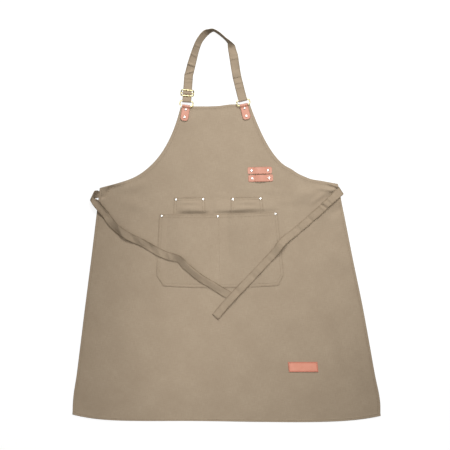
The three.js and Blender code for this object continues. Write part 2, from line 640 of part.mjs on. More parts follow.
const rightProfile = [
  new THREE.Vector2(38, flatStrap), new THREE.Vector2(18, flatStrap),
  ...arcPoints(0, RING_HEIGHT, STRAP_WRAP, -90, -270, 6),
  ...smoothProfile([
    [0, RING_HEIGHT + STRAP_WRAP], [7, RING_HEIGHT], [19, flatStrap + STRAP + GAP], [41, flatStrap + STRAP + GAP],
    [52, 1.5], [62, flatStrap],
  ], 12).slice(1),
];
const neckHalf = () => NECK_WIDTH / 2;
const rightEnd = NECK_ENDS.right;
const freeRun = smoothCourse(NECK_COURSE, 2).map((spot) => lyingSection(spot, NECK_WIDTH, 0.1));
const rightSections = profileSections(rightProfile, ringBars(rightEnd).strapBar, rightEnd.strap, neckHalf)
  .map(({ c, a, n }) => ({ c, a: a.negate(), n })).reverse();
const neckSections = [...profileSections(leftProfile, leftBar, leftEnd.strap, neckHalf), ...freeRun, ...rightSections];
addPiece("neck_strap", stripSolid(neckSections, STRAP), "canvas");

// Waist ties
for (const [name, tie] of Object.entries(TIES)) addPiece(`waist_tie_${name}`, stripSolid(tieSections(tie), STRAP), "canvas");

// Tool loops with their rivets
const loopRivets = [];
for (const [name, loop] of Object.entries(LOOPS)) {
  const ends = [0, 0.5, 1.8, LOOP_ROUND];
  const flat = (loop.long - loop.rivets) / 2 + CAP + 1;
  const middle = Array.from({ length: 11 }, (_, k) => lerp(flat, loop.long - flat, k / 10));
  const stations = [...ends, ...middle, ...ends.map((e) => loop.long - e).reverse()];
  const seat = bodyTop(loop.x, loop.y) + GAP + LEATHER / 2;
  const profile = stations.map((s) => {
    const t = clamp((s - flat) / (loop.long - 2 * flat), 0, 1);
    return new THREE.Vector2(s - loop.long / 2, seat + loop.rise * Math.sin(Math.PI * t) ** 0.75);
  });
  const halves = stations.map((s) => roundedHalf(LOOP_WIDTH / 2, LOOP_ROUND, Math.min(s, loop.long - s)));
  const forward = heading2(90 - loop.heading);
  const places = [-0.5, 0.5].map((k) => [loop.x + forward.x * loop.rivets * k, loop.y + forward.y * loop.rivets * k]);
  const strip = stripSolid(profileSections(profile, loop, 90 - loop.heading, (k) => halves[k]), LEATHER);
  addPiece(`tool_loop_${name}`, punched(strip, places), "leather");
  places.forEach(([x, y], k) =>
    addRivet(`rivet_loop_${name}_${k + 1}`, x, y, bodyTop(x, y) - CLOTH - GAP, seat + LEATHER / 2 + GAP));
  loopRivets.push(...places);
}

// Label
const labelHeight = bodyTop(LABEL.x, LABEL.y) + GAP + LEATHER / 2;
const labelHalf = new THREE.Vector3(-LABEL.slant / 2, LABEL.tall / 2, 0);
const labelSections = [-0.5, -0.25, 0, 0.25, 0.5].map((k) => ({
  c: new THREE.Vector3(LABEL.x + LABEL.long * k, LABEL.y, labelHeight), a: labelHalf, n: UP,
}));
addPiece("hem_label", stripSolid(labelSections, LEATHER), "leather");

// Pockets and body with their rivets
const pocketPlaces = Object.entries(POCKET_RIVETS);
for (const [name, [x, y]] of pocketPlaces) {
  addRivet(`rivet_pocket_${name}`, x, y, bodyTop(x, y) - CLOTH - GAP, bodyTop(x, y) + GAP + POCKET_HEM + GAP);
}
const placesOf = (part) => pocketPlaces.filter(([name]) => name.startsWith(part)).map(([, place]) => place);
const largePlaces = [POCKET_RIVETS.left, POCKET_RIVETS.middle, POCKET_RIVETS.right];
addPiece("large_pocket", punched(panelSolid(LARGE_EDGES, 14, 10, POCKET_HEM_WIDTH, POCKET_HEM, largeTop), largePlaces), "canvas");
for (const [name, pocket] of Object.entries(SMALL_POCKETS)) {
  const edges = pocketEdges(pocket.top, 0, pocket.bottom, pocket.bottom, 0, 1);
  const panel = panelSolid(edges, 8, 6, POCKET_HEM_WIDTH, POCKET_HEM, smallTop(pocket));
  addPiece(`small_pocket_${name}`, punched(panel, placesOf(`small_${name}`)), "canvas");
}
const bodyPlaces = [...pocketPlaces.map(([, place]) => place), ...tabRivets, ...loopRivets];
addPiece("apron_body", punched(panelSolid(BODY_EDGES, 21, 32, HEM_WIDTH, BODY_HEM, bodyTop), bodyPlaces), "canvas");

export default apron;
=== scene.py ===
"""A canvas work apron lying face up on a pale floor: cloth panels, straps, leather and metal fittings.

Every shape is worked out in millimetres with numpy and goes into its mesh in metres. Places and sizes
are near those of the part's source, and some are set closer to the photo, so they aren't all the same.
+X is the right of the front, +Y runs from hem to neck, +Z is up.
"""
import bpy
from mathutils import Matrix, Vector
import numpy as np


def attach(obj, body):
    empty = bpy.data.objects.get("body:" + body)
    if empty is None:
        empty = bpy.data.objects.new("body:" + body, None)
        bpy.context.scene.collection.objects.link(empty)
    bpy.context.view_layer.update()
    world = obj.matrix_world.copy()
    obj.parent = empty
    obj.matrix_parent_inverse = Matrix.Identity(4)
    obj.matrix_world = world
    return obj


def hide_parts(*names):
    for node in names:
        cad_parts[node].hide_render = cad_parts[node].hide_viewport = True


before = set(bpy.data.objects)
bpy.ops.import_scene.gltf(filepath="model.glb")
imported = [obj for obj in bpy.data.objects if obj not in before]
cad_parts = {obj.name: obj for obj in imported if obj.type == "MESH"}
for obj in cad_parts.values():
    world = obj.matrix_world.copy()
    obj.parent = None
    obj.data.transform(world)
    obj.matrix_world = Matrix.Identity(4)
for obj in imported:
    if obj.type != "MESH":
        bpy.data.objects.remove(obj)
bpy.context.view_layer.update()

MM = 0.001
UP = np.array([0.0, 0.0, 1.0])
CUT_PLAN = "cut_plan"       # UV map: the place on the flat cut, in metres
# The edge attribute also carries painted shade: dark lines along canvas edges, the neck strap's apex and the
# ties' fold turns
EDGE = "edge"               # attribute: 1 at a cut or folded edge, 0 away from it

# Thicknesses, widths and clearances
GAP = 0.3
SEWN_GAP = 0.05             # under a pocket's sewn edge
WRAP_GAP = 0.6
FLOOR_CLEAR = 0.05          # no cloth dips below this
STRAP_CLEAR = 0.1           # between a strap and the floor
CAP_CLEAR = 0.1             # between a rivet's cap and what it holds
CLOTH = 1.1
BODY_HEM = 2.4
POCKET_HEM = 0.9            # sewn down flat
HEM_WIDTH = 8.0
POCKET_TURN = 9.0
STRAP = 1.6
LEATHER = 1.3
NECK_WIDTH = 22.8
TIE_WIDTH = 21.0
TAB_WIDTH = 20.6
LOOP_WIDTH = 18.0
WIRE = 1.7
MIDDLE_BAR = 1.3
CAP = 3.5
CAP_RISE = 1.5
POST = 1.4
BACK = 0.8

# Body outline, with places along the bib's top, the sides and the hem as shares of their lengths
BIB = {"left": (-119.6, 307.3), "right": (60.6, 315.1)}
BIB_STEP = (0.4, 0.35)      # where the top starts to climb to its right end, and over what
BIB_RISE = 2.6              # slight crown of the top, left of its middle
BIB_CROWN = (0.15, 0.62, 0.2)       # the crown's climb, its end, and its fall before that
WAIST = {"left": (-329.4, 97.5), "right": (289.6, 108.2)}
HEM = {"left": (-401.0, -491.5), "right": (401.0, -495.0)}
HEM_SAG = 17.7
HEM_ROUNDNESS = {"left": 6.2, "right": 5.5}
HEM_RISE = 2.2              # slight hollow of the hem, left of its middle
HEM_HOLLOW = (0.38, 0.2)    # the hollow's middle and half width
ARMHOLE = {"left": (14, 190, 16, 70), "right": (20, 180, 10, 130)}   # angle and pull, top and low
# Slight bulges and hollows of the armholes: place across, half width, rise
ARM_BULGES = {"left": [(-235, 25, -1.0)], "right": [(168, 14, 3.2), (220, 18, -2.1)]}
SIDE_BOW = {"left": 0.0, "right": 3.2}
SIDE_FLARE = {"left": (1.0, 2.0), "right": (2.7, 2.4)}    # lower half, and just above the hem
FLARE = (0.28, 0.3, 0.06)   # where the lower half starts to flare, over what, and its end at the hem
SWING = (0.91, 0.06, 0.03)  # middle and half width of the flare above the hem, and its end
SIDE_SIGN = {"left": -1.0, "right": 1.0}

# What carries the cloth off the floor: x, y, level radius, reach, rise
LIFTS = [
    (-312, 82, 44, 100, 2.2),
    (272, 88, 44, 100, 2.2),
    (-108, 293, 24, 62, 1.1),
    (52, 297, 24, 62, 1.1),
]
# Waves of the whole cloth: length across, length along, phase
WAVES = [(31, 83, 0.4), (57, -29, 1.9), (19, 47, 3.1)]
WAVE_RISE = 0.22
WAVE_TOP, WAVE_FADE = 245, 70       # none above this place, full this far below it
# Soft folds: start x and y, end x and y, half width, rise
FOLDS = [
    (262, 92, 165, 74, 16, 4.0),
    (268, 72, 222, -10, 17, 3.0),
    (-290, 92, -205, 112, 16, 3.2),
    (-285, 70, -200, 40, 17, 2.2),
    (292, -190, 306, -395, 17, 3.6),
    (340, -230, 362, -430, 17, 2.8),
    (275, -50, 325, -125, 20, 2.6),
    (-250, -190, -262, -440, 34, 2.4),
]
# Small creases that only the dressed cloth has, in the same form
CREASES = [
    (316, 86, 228, 98, 5.5, 4.2),
    (316, 89, 258, 112, 3.4, 4.8),
    (268, 95, 214, 51, 6.5, 3.4),
    (-294, 108, -322, 70, 4.6, -4.6),
    (-308, 80, -336, 68, 4.4, -1.8),
    (-330, 99, -256, 117, 7, 3.6),
    (314, 58, 262, 20, 12, -3.8),
    (316, 118, 256, 66, 4.5, -4.0),
    (20, 96, 190, 86, 7, 0.7),
    (-40, 84, 20, 74, 6, 0.6),
    (110, 60, 240, 66, 8, 0.8),
    (-200, 150, -60, 170, 22, 0.9),
    (-60, 215, 40, 232, 20, 0.6),
    (60, -230, 210, -250, 26, 0.7),
    (-160, -260, -20, -300, 30, 0.8),
]
# Slack of the cloth above the large pocket's mouth: place across, rise
MOUTH_SLACK_X = [-132, -114, -95, -60, -46, -38, -26, 8, 35, 64, 100, 124, 140]
MOUTH_SLACK_RISE = [0, 4.4, 6.0, 5.4, 2.0, 0.5, 3.1, 5.6, 6.2, 4.4, 2.6, 1.3, 0]
MOUTH_SLACK_STEEP = 11.0
MOUTH_SLACK_LONG = 44.0

# Large pocket
MOUTH = ((-175.0, 29.9), (132.8, 35.8))
MOUTH_SAG = 3.5
POCKET_LOW = ((-182.5, -128.4), (150.0, -128.4))
POCKET_BOTTOM = ((-164.6, -157.8), (135.2, -156.3))
POCKET_BOTTOM_SAG = 5.0
GAPE = 8.5
GAPE_SEAM = 0.5
GAPE_MARGIN = 0.145
GAPE_TOP = 31.0
GAPE_DEEP = 184.0

# Small pockets: top corners, bottom corners
SMALL_POCKETS = {
    "left": (((-136.5, 72.8), (-55.8, 74.5)), ((-141.0, -8.0), (-52.0, -8.0))),
    "right": (((10.9, 73.3), (93.0, 76.0)), ((11.0, -6.0), (101.0, -6.0))),
}
SMALL_GAPE = 2.4
SMALL_MARGIN = 0.13
SMALL_FOLD = 0.8            # rise of the level folds under the mouth
SMALL_FOLD_AT, SMALL_FOLD_PITCH = 0.16, 0.2     # shares of the depth: first fold, spacing

# Rings, tabs, slider
RING_WIDE, RING_TALL, RING_CORNER = 34.0, 13.6, 5.5
# Ring's x and y, then the headings of the ring, its tab and the strap
NECK_ENDS = {"left": (-103.9, 316.4, 6.5, 9.0, 4.0), "right": (43.6, 319.3, -11.5, -13.5, -14.0)}
TAB_RIVETS = (8.4, 28.8)
TAB_LENGTH = 38.0
TAB_ROUND = 8.0
SLIDER_WIDE, SLIDER_TALL, SLIDER_CORNER = 32.6, 14.6, 3.5
SLIDER_ALONG, SLIDER_HEIGHT, SLIDER_BOW = 21.0, 3.6, 4.1

# Neck strap course: inner edge x, y, outer edge x, y and the height that the outer edge stands at
NECK_COURSE = np.array([
    (-85.6, 394.4, -108.4, 396.0, 0.0),
    (-78.8, 423.8, -98.9, 428.0, 8.5),
    (-71.2, 455.0, -87.7, 459.2, 15.0),
    (-63.4, 475.8, -78.2, 481.0, 16.5),
    (-51.8, 491.4, -64.7, 499.7, 17.0),
    (-46.3, 496.8, -56.5, 506.0, 18.0),
    (-40.6, 501.6, -46.6, 507.8, 21.0),
    (-33.5, 504.6, -35.9, 508.9, 22.0),
    (-24.7, 500.0, -24.3, 503.8, 22.0),
    (-14.2, 492.1, -12.6, 495.3, 22.0),
    (-2.7, 481.9, -1.0, 485.0, 22.0),
    (1.3, 476.1, 11.6, 476.0, 20.0),
    (2.9, 474.0, 22.2, 468.0, 4.0),
    (3.0, 472.8, 22.6, 466.8, 3.8),
    (3.4, 468.0, 24.1, 461.2, 3.0),
    (3.9, 458.3, 26.5, 453.7, 2.0),
    (6.5, 443.0, 29.5, 444.2, 5.0),
    (9.6, 422.5, 32.2, 426.1, 5.0),
    (13.1, 400.8, 35.3, 406.2, 0.0),
])
APEX_ROW, APEX_HALF, APEX_SHADE = 6.2, 1.7, 0.9  # rows of the course at its top, where painted shade darkens the strap standing away from the light
NECK_STEPS = 24             # sections from one row of the course to the next
NECK_LEAD, NECK_TAIL = 24, 16       # sections before and after the free run that show stitches
NECK_FREE, NECK_FREE_OVER = 352, 8  # the strap is creased above this place, in full this far above it
# Cross creases of the straps, in the form of the folds
NECK_CREASES = [
    (-113, 393, -79, 404, 2.2, 3.6),
    (-112, 384, -80, 382, 1.7, 2.2),
    (-112, 373, -80, 376, 1.7, 1.8),
    (-110, 424, -76, 412, 2.4, 4.2),
    (-98, 450, -66, 432, 2.6, 2.6),
    (-86, 470, -62, 462, 2.6, 1.8),
    (4, 381, 44, 391, 2.2, 3.4),
    (10, 367, 46, 374, 1.9, 2.4),
    (12, 355, 50, 362, 1.8, 1.6),
    (0, 430, 38, 438, 3.0, 1.8),
]

# Waist ties: root, where it leaves the body and its share of width there, fold, fold line's heading,
# fold top, share of the fold line left bare on top, rise of the lower layer's edge nearer the neck,
# course of x, y, lean, raise, curl of the edge nearer the neck
TIES = {
    "left": ((-286, 81), (-331, 81), 0.8, (-347.9, 78.0), 63, 14.0, 0.46, 13.0, np.array([
        (-339.2, 60.6, -4, 0.2, 5.2), (-329.8, 48.6, -6, 0, 5.0), (-316.8, 32.9, -3, 0, 3.8),
        (-304.2, 14.6, 5, 0, 0.8), (-291.2, -1.3, 8, 0, 0), (-277.4, -13.3, 8, 0, 0),
        (-263.9, -22.6, 4, 0, 0), (-247.5, -31.5, 10, 0, 0), (-231.9, -38.5, 16, 0, 0),
        (-211.9, -48.6, 20, 0, 0), (-191.6, -60.6, 17, 0, 0), (-176.0, -69.2, 6, 0.2, 0),
        (-157.3, -77.7, 1, 0.2, 0), (-137.8, -82.9, 14, 0, 0), (-120.9, -88.7, 32, 0, 0),
        (-110.5, -100.6, 28, 0, -1.5), (-98.0, -112.1, 29, 0, -2.6), (-83.7, -124.3, 28, 0, -3.0),
        (-63.7, -139.1, 22, 0, -3.0), (-36.9, -154.7, 19, 0, -2.4), (-16.1, -168.2, 12, 0, -1.2),
        (11.7, -184.1, 3, 0, 0),
    ])),
    "right": ((252, 78), (276, 85), 1.0, (297.8, 91.2), -56.5, 6.3, 0.0, 0.0, np.array([
        (279.5, 74.4, 5, 2.8, 0), (268.6, 64.5, -2, 5.2, 0), (253.5, 50.2, -8, 3.2, 0),
        (240.5, 37.2, 3, 0.8, 0), (224.4, 23.7, 3, 0, 0), (208.8, 9.6, 4, 0, 0),
        (190.6, -6.0, 4, 0, 0), (171.1, -22.1, 4, 0.3, 0), (154.2, -34.6, 4, 3.2, 0),
        (141.2, -47.6, 2, 13.0, 0), (131.3, -61.9, 6, 7.4, 0), (119.6, -76.2, 4, 0.8, 0),
        (95.7, -101.4, 4, 0, 0), (74.9, -123.5, 5, 0, 0), (53.3, -146.4, 4, 0.2, 0),
        (31.5, -169.0, 6, 1.8, 0), (12.5, -189.3, 6, 2.8, 0), (-8.3, -212.7, 4, 1.0, 0),
        (-29.1, -237.6, 5, 0, 0),
    ])),
}
CURL_UP_BAND, CURL_DOWN_BAND = 7.6, 5.0
SETTLE = 45.0               # length over which a tie comes down from its fold
FOLD_SHADE_SPAN = 1.1             # turn either side of a fold darkened with painted shade, the shade inside the turn
TIE_CREASES = {
    "left": [
        (-318, 48, -300, 18, 3.5, 1.6),
        (-250, -18, -238, -46, 5, -1.8),
        (-232, -24, -218, -54, 6, 2.2),
        (-206, -40, -190, -72, 6, -2.4),
        (-180, -54, -170, -86, 5, 1.8),
        (-154, -64, -146, -92, 5, 2.2),
        (-66, -126, -50, -156, 6, -1.6),
    ],
    "right": [
        (250, 74, 278, 50, 4, -5.0),
        (238, 60, 266, 40, 3.5, -4.4),
        (208, 26, 228, 4, 6, -2.6),
        (176, 2, 198, -22, 6, -2.2),
        (128, -36, 150, -56, 7, -2.0),
        (100, -80, 124, -104, 6, -2.2),
        (76, -106, 98, -128, 5, 1.4),
        (58, -120, 82, -146, 6, -2.0),
        (18, -160, 42, -186, 6, -1.8),
        (-22, -208, 2, -232, 6, 1.2),
    ],
}
# The left tie's buckle: place, direction, length before and after, height of its crest
BUCKLE_AT = np.array([-267.6, -23.4])
BUCKLE_RUN = np.array([0.713, -0.701])
BUCKLE_BEFORE, BUCKLE_AFTER, BUCKLE_CREST = 60.0, 44.0, 12.6
BUCKLE_TIP, BUCKLE_SOFT = 1.6, 0.8  # steepness across the tie, rounding of the crest

# Tool loops: x, y, length, heading, rivet spacing, rise
LOOPS = {"upper": (86.6, 143.0, 63.4, 1.2, 42.4, 3.2), "lower": (88.9, 123.0, 64.4, 1.6, 43.6, 3.2)}
LOOP_ROUND = 4.0
LABEL_X, LABEL_Y, LABEL_LONG, LABEL_TALL, LABEL_SLANT = 199.2, -367.8, 76.5, 26.0, 2.8
LABEL_BORDER, LABEL_PRESSED, LABEL_PRESSED_HALF = 3.4, 0.3, 0.55    # line's inset, depth, half width
LABEL_STITCH = 1.9
POCKET_RIVETS = {
    "left": (-168.5, 24.4), "middle": (-22.4, 23.7), "right": (127.7, 30.2),
    "small_left_1": (-131.6, 67.3), "small_left_2": (-60.6, 68.6),
    "small_right_1": (16.0, 67.8), "small_right_2": (87.9, 70.0),
}

# Edges: radius of a cloth's or a leather's rim, length over which an edge's darkening fades: burnish on
# leather, soil and painted shade on canvas
CLOTH_RIM, LEATHER_RIM = 1.0, 0.5
EDGE_FADE = 2.2
# Stitch grooves: depth, half width, share of a groove that shows in the cloth's thickness
HEM_GROOVE, HEM_GROOVE_HALF = 0.4, 0.9
POCKET_GROOVE, POCKET_GROOVE_HALF = 0.22, 0.8
GROOVE_SHARE = 0.6
# Steps down past the turned cloth: depth, length, and how far before the turned edge the hem's starts
HEM_STEP, HEM_STEP_LONG, HEM_STEP_LEAD = 0.55, 2.2, 0.6
POCKET_STEP, POCKET_STEP_LONG = 0.15, 1.8
THINNING = 2.0              # length over which the hem thins to one layer

# Stitch rows: distance in from the edge, share of a strap's half width, spacing and length of one
# stitch, thread radius, thread over a strap's face, seam sunk in the large pocket
HEM_STITCH = 6.4
POCKET_STITCHES = (2.0, 8.0)
STRAP_STITCH = 0.82
STITCH_PITCH = 3.5
STITCH_LONG = 2.7
THREAD = 0.42
THREAD_OVER = 0.1
BEAD_RINGS = (0.22, 0.78)   # shares of a stitch's length where its two rings are
TIP_SINK = 0.7              # thread radii that its tips are sunk by
SEAM_SUNK = 0.25
SEAM_PAST = 3.0             # the seam goes this far past the bottom's left corner, to its sag


def ease(t):
    """Smooth step: 3t^2 - 2t^3, with t held between 0 and 1."""
    t = np.clip(t, 0.0, 1.0)
    return t * t * (3.0 - 2.0 * t)


def bell(t, middle, half):
    """Bell curve: exp(-((t - middle) / half)^2)."""
    return np.exp(-(((t - middle) / half) ** 2))


def mix(a, b, t):
    """Straight blend: a + (b - a) t."""
    return a + (b - a) * t


def heading(degrees):
    """Unit vector in plan, turned by the angle from +Y towards +X."""
    angle = np.radians(degrees)
    return np.array([np.sin(angle), np.cos(angle), 0.0])


def unit(vectors):
    """Vectors divided by their own lengths."""
    return vectors / np.linalg.norm(vectors, axis=-1, keepdims=True)


def ridge(x, y, fold):
    """Ridge between two points: rise times sin(pi along) times exp(-(aside / half width)^2)."""
    x0, y0, x1, y1, half, rise = fold
    run_x, run_y = x1 - x0, y1 - y0
    length = np.hypot(run_x, run_y)
    along = ((x - x0) * run_x + (y - y0) * run_y) / length**2
    aside = ((x - x0) * run_y - (y - y0) * run_x) / length
    return rise * np.sin(np.pi * np.clip(along, 0, 1)) * bell(aside, 0.0, half)


def ridges(x, y, folds):
    """Sum of all the ridges of a list."""
    return sum(ridge(x, y, fold) for fold in folds)


def mouth_line(x):
    """Height in plan of the large pocket's mouth: a straight line less a parabola of the sag."""
    u = (x - MOUTH[0][0]) / (MOUTH[1][0] - MOUTH[0][0])
    return mix(MOUTH[0][1], MOUTH[1][1], u) - MOUTH_SAG * 4 * u * (1 - u)


def mouth_slack(x, y):
    """Slack roll above the mouth: a steep smooth step up from the mouth line, then a long one down."""
    above = y - mouth_line(x)
    rise = np.interp(x, MOUTH_SLACK_X, MOUTH_SLACK_RISE)
    fall = 1 - ease((above - MOUTH_SLACK_STEEP) / (MOUTH_SLACK_LONG - MOUTH_SLACK_STEEP))
    return rise * ease(above / MOUTH_SLACK_STEEP) * fall


def waves(x, y):
    """Slight unevenness of cloth on a floor: three crossed sine waves, none of it near the neck."""
    swell = sum(np.sin(x / across + y / along + phase) for across, along, phase in WAVES)
    return WAVE_RISE * (swell + len(WAVES)) * ease((WAVE_TOP - y) / WAVE_FADE)


def body_top(x, y):
    """Top of the body: hem thickness, the highest lift, the folds, creases, mouth slack and waves."""
    lift = np.zeros_like(x, dtype=float)
    for at_x, at_y, level, reach, rise in LIFTS:
        far = np.hypot(x - at_x, y - at_y)
        lift = np.maximum(lift, rise * ease((reach - far) / (reach - level)))
    cloth = ridges(x, y, FOLDS) + ridges(x, y, CREASES) + mouth_slack(x, y) + waves(x, y)
    return BODY_HEM + lift + cloth


def large_top(x, y):
    """Top of the large pocket: body, hem and a gape of two sine lobes that closes as cos^0.9 down."""
    down = np.clip((MOUTH[0][1] - y) / (MOUTH[0][1] - POCKET_LOW[0][1]), 0, 1)
    left = mix(MOUTH[0][0], POCKET_LOW[0][0], down)
    right = mix(MOUTH[1][0], POCKET_LOW[1][0], down)
    across = (x - left) / (right - left)
    lobe = np.where(across < GAPE_SEAM, across / GAPE_SEAM, (across - GAPE_SEAM) / (1 - GAPE_SEAM))
    swell = np.sin(np.pi * np.clip((lobe - GAPE_MARGIN) / (1 - 2 * GAPE_MARGIN), 0, 1))
    deep = np.clip((GAPE_TOP - y) / GAPE_DEEP, 0, 1)
    below_mouth = np.minimum(y, mouth_line(x))
    return body_top(x, below_mouth) + SEWN_GAP + POCKET_HEM + GAPE * swell * np.cos(np.pi / 2 * deep) ** 0.9


def small_top(pocket):
    """Top of a small pocket: body, hem, a slack mouth of one sine lobe and two faint level folds."""
    (top_left, top_right), (low_left, low_right) = pocket

    def top(x, y):
        """Body and hem, plus the lobe across times a gape that closes as (1 - down)^1.5 and the folds."""
        down = np.clip((top_left[1] - y) / (top_left[1] - low_left[1]), 0, 1)
        left = mix(top_left[0], low_left[0], down)
        right = mix(top_right[0], low_right[0], down)
        across = (x - left) / (right - left)
        lobe = np.sin(np.pi * np.clip((across - SMALL_MARGIN) / (1 - 2 * SMALL_MARGIN), 0, 1))
        wave = np.cos(2 * np.pi * (down - SMALL_FOLD_AT) / SMALL_FOLD_PITCH)
        level_folds = SMALL_FOLD * wave * ease((0.5 - down) / SMALL_FOLD_PITCH)
        slack = SMALL_GAPE * (1 - down) ** 1.5 + level_folds
        return body_top(x, y) + SEWN_GAP + POCKET_HEM + lobe * slack

    return top


def outward(points, quads):
    """Quads as they are, or all turned over if the volume they enclose comes out negative."""
    a, b, c, d = (points[quads[:, k]] for k in range(4))
    volume = (a * (np.cross(b, c) + np.cross(c, d))).sum()
    return quads[:, ::-1] if volume < 0 else quads


def grid_quads(index):
    """Quads between neighbouring rows and columns of an index grid."""
    return np.stack([index[:-1, :-1], index[1:, :-1], index[1:, 1:], index[:-1, 1:]], axis=-1).reshape(-1, 4)


def make_piece(name, points, quads, material, slot, plan=None, edge=None, stands_for=()):
    """A smooth mesh at the origin from points in mm and quads, riding on the part's one body."""
    mesh = bpy.data.meshes.new(name)
    flat = [tuple(dict.fromkeys(q)) for q in outward(points, quads).tolist()]
    mesh.from_pydata((points * MM).tolist(), [], flat)
    mesh.polygons.foreach_set("use_smooth", np.ones(len(mesh.polygons), dtype=bool))
    corner = np.empty(len(mesh.loops), dtype=np.int32)
    mesh.loops.foreach_get("vertex_index", corner)
    plan = points[:, :2] if plan is None else plan
    mesh.uv_layers.new(name=CUT_PLAN).data.foreach_set("uv", (plan * MM)[corner].ravel())
    shade = np.zeros(len(points)) if edge is None else edge
    mesh.attributes.new(EDGE, "FLOAT", "POINT").data.foreach_set("value", shade.astype(np.float32))
    mesh.materials.append(material)
    mesh.update()
    piece = bpy.data.objects.new(name, mesh)
    bpy.context.scene.collection.objects.link(piece)
    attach(piece, "root")
    if stands_for:
        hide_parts(*stands_for)
    return piece


def along_edge(start, end, count, sag=0.0, spread=None):
    """Points from start to end, less a parabola of the sag in y; spread bunches them."""
    t = np.linspace(0, 1, count + 1) if spread is None else spread
    line = mix(np.array(start), np.array(end), t[:, None])
    line[:, 1] -= sag * 4 * t * (1 - t)
    return line


def offset_edges(edges, inset):
    """Edges moved in along their normals, then slid along so that their ends meet at the mitres."""
    normals = []
    moved = []
    for edge in edges:
        run = unit(np.gradient(edge, axis=0))
        normal = np.stack([run[:, 1], -run[:, 0]], axis=1)
        normals.append(normal)
        moved.append(edge + inset * normal)
    mitres = []
    for k, edge in enumerate(edges):
        before, after = normals[k - 1][-1], normals[k][0]
        mitres.append(edge[0] + inset * (before + after) / (1 + before @ after))
    for k, line in enumerate(moved):
        step = np.linalg.norm(np.diff(edges[k], axis=0), axis=1)
        t = (np.concatenate([[0], np.cumsum(step)]) / step.sum())[:, None]
        start, end = mitres[k] - line[0], mitres[(k + 1) % len(edges)] - line[-1]
        moved[k] = line + (1 - t) * start + t * end
    return moved


def ring_of(edges, inset):
    """One closed ring of plan points at a distance in from the edges."""
    return np.concatenate([edge[:-1] for edge in offset_edges(edges, inset)])


def panel(edges, sides, insets, round_over, top, thick):
    """A cloth panel: rings at set distances in from the outline, over the top, round a rim of half
    circle section and back underneath, closed above and below by a grid blended between its edges.
    Its underside is held just above the floor. Returns points, quads, plan and edge shade."""
    turn = np.radians([60, 30, 0, -30, -60])
    deep = np.array(insets)
    inset = np.concatenate([deep[::-1], [round_over], round_over * (1 - np.cos(turn)), [round_over], deep])
    rim = np.concatenate([[1.0], (1 + np.sin(turn)) / 2, [0.0]])
    share = np.concatenate([np.ones(len(deep)), rim, np.zeros(len(deep))])
    rings = np.stack([ring_of(edges, d) for d in inset])
    x, y = rings[..., 0], rings[..., 1]
    far = np.broadcast_to(inset[:, None], x.shape)
    z = np.maximum(top(x, y, far) - thick(far) * (1 - share[:, None]), FLOOR_CLEAR)
    ids = np.arange(x.size).reshape(x.shape)
    nxt = np.roll(ids, -1, axis=1)
    bands = np.stack([ids[:-1], nxt[:-1], nxt[1:], ids[1:]], axis=-1).reshape(-1, 4)

    inner = offset_edges(edges, inset[0])
    joined = [np.concatenate([inner[k][(0 if n == 0 else 1):] for n, k in enumerate(side)]) for side in sides]
    upper, right, lower, left = joined[0], joined[1], joined[2][::-1], joined[3][::-1]
    columns, rows = len(upper) - 1, len(right) - 1
    u = np.linspace(0, 1, columns + 1)[None, :, None]
    v = np.linspace(0, 1, rows + 1)[:, None, None]
    corners = mix(mix(upper[0], upper[-1], u), mix(lower[0], lower[-1], u), v)
    grid = mix(left[:, None], right[:, None], u) + mix(upper[None], lower[None], v) - corners
    gx, gy = grid[1:-1, 1:-1, 0].ravel(), grid[1:-1, 1:-1, 1].ravel()
    gfar = np.full(gx.shape, inset[0])
    gz = top(gx, gy, gfar)
    lower_z = np.maximum(gz - thick(gfar), FLOOR_CLEAR)

    def grid_index(ring, first):
        """Index grid: the ring's own points round its border, the grid's points inside."""
        index = np.zeros((rows + 1, columns + 1), dtype=int)
        index[1:-1, 1:-1] = first + np.arange(gx.size).reshape(rows - 1, columns - 1)
        index[0, :columns] = ring[:columns]
        index[:rows, columns] = ring[columns:columns + rows]
        index[rows, columns:0:-1] = ring[columns + rows:2 * columns + rows]
        index[rows:0:-1, 0] = ring[2 * columns + rows:]
        return index

    above = grid_quads(grid_index(ids[0], x.size))
    below = grid_quads(grid_index(ids[-1], x.size + gx.size))[:, ::-1]
    points = np.concatenate([
        np.stack([x, y, z], axis=-1).reshape(-1, 3),
        np.stack([gx, gy, gz], axis=-1),
        np.stack([gx, gy, lower_z], axis=-1),
    ])
    # Edge darkening fading in from the rim: burnish on leather, partly soil and partly painted shade on
    # canvas
    edge = np.concatenate([np.exp(-far / EDGE_FADE).ravel(), np.zeros(2 * gx.size)])
    return points, np.concatenate([bands, above, below]), points[:, :2], edge


def flat_section(half, thick, edge_round=0.55):
    """Section of a flat strip as (across in half widths, height): faces with edges rounded as a
    circle over the given distance."""
    inner = np.array([0, 0.2, 0.42, 0.63, 0.78])
    limit = 1 - edge_round / half
    outer = np.concatenate([inner * limit / 0.85, mix(limit, 1.0, np.array([0.0, 0.45, 0.8, 1.0]))])
    drop = np.clip((outer - limit) / (1 - limit), 0, 1) * 0.93
    height = thick / 2 * np.sqrt(1 - drop**2)
    across = np.concatenate([-outer[:0:-1], outer])
    face = np.concatenate([height[:0:-1], height])
    return np.concatenate([across, across[::-1]]), np.concatenate([face, -face[::-1]])


def carried(sections, across, curl=None, face=1.0):
    """Places across a strap: centre + half across. Where a curl is given, the band beside its edge
    swings up as a hinged flap: lifted by curl times share^1.5 and drawn in by the chord's loss."""
    centre, half, normal = sections
    points = centre[:, None] + half[:, None] * across[None, :, None]
    if curl is not None:
        width = np.linalg.norm(half, axis=1, keepdims=True)
        band = np.where(curl > 0, CURL_UP_BAND, CURL_DOWN_BAND)[:, None]
        share = np.clip((across[None] - 1) * width / band + 1, 0, 1)
        drawn = band - np.sqrt(band**2 - curl[:, None] ** 2)
        points = points + face * normal[:, None] * (curl[:, None] * share**1.5)[..., None]
        points = points - (half / width)[:, None] * (drawn * share)[..., None]
    return points


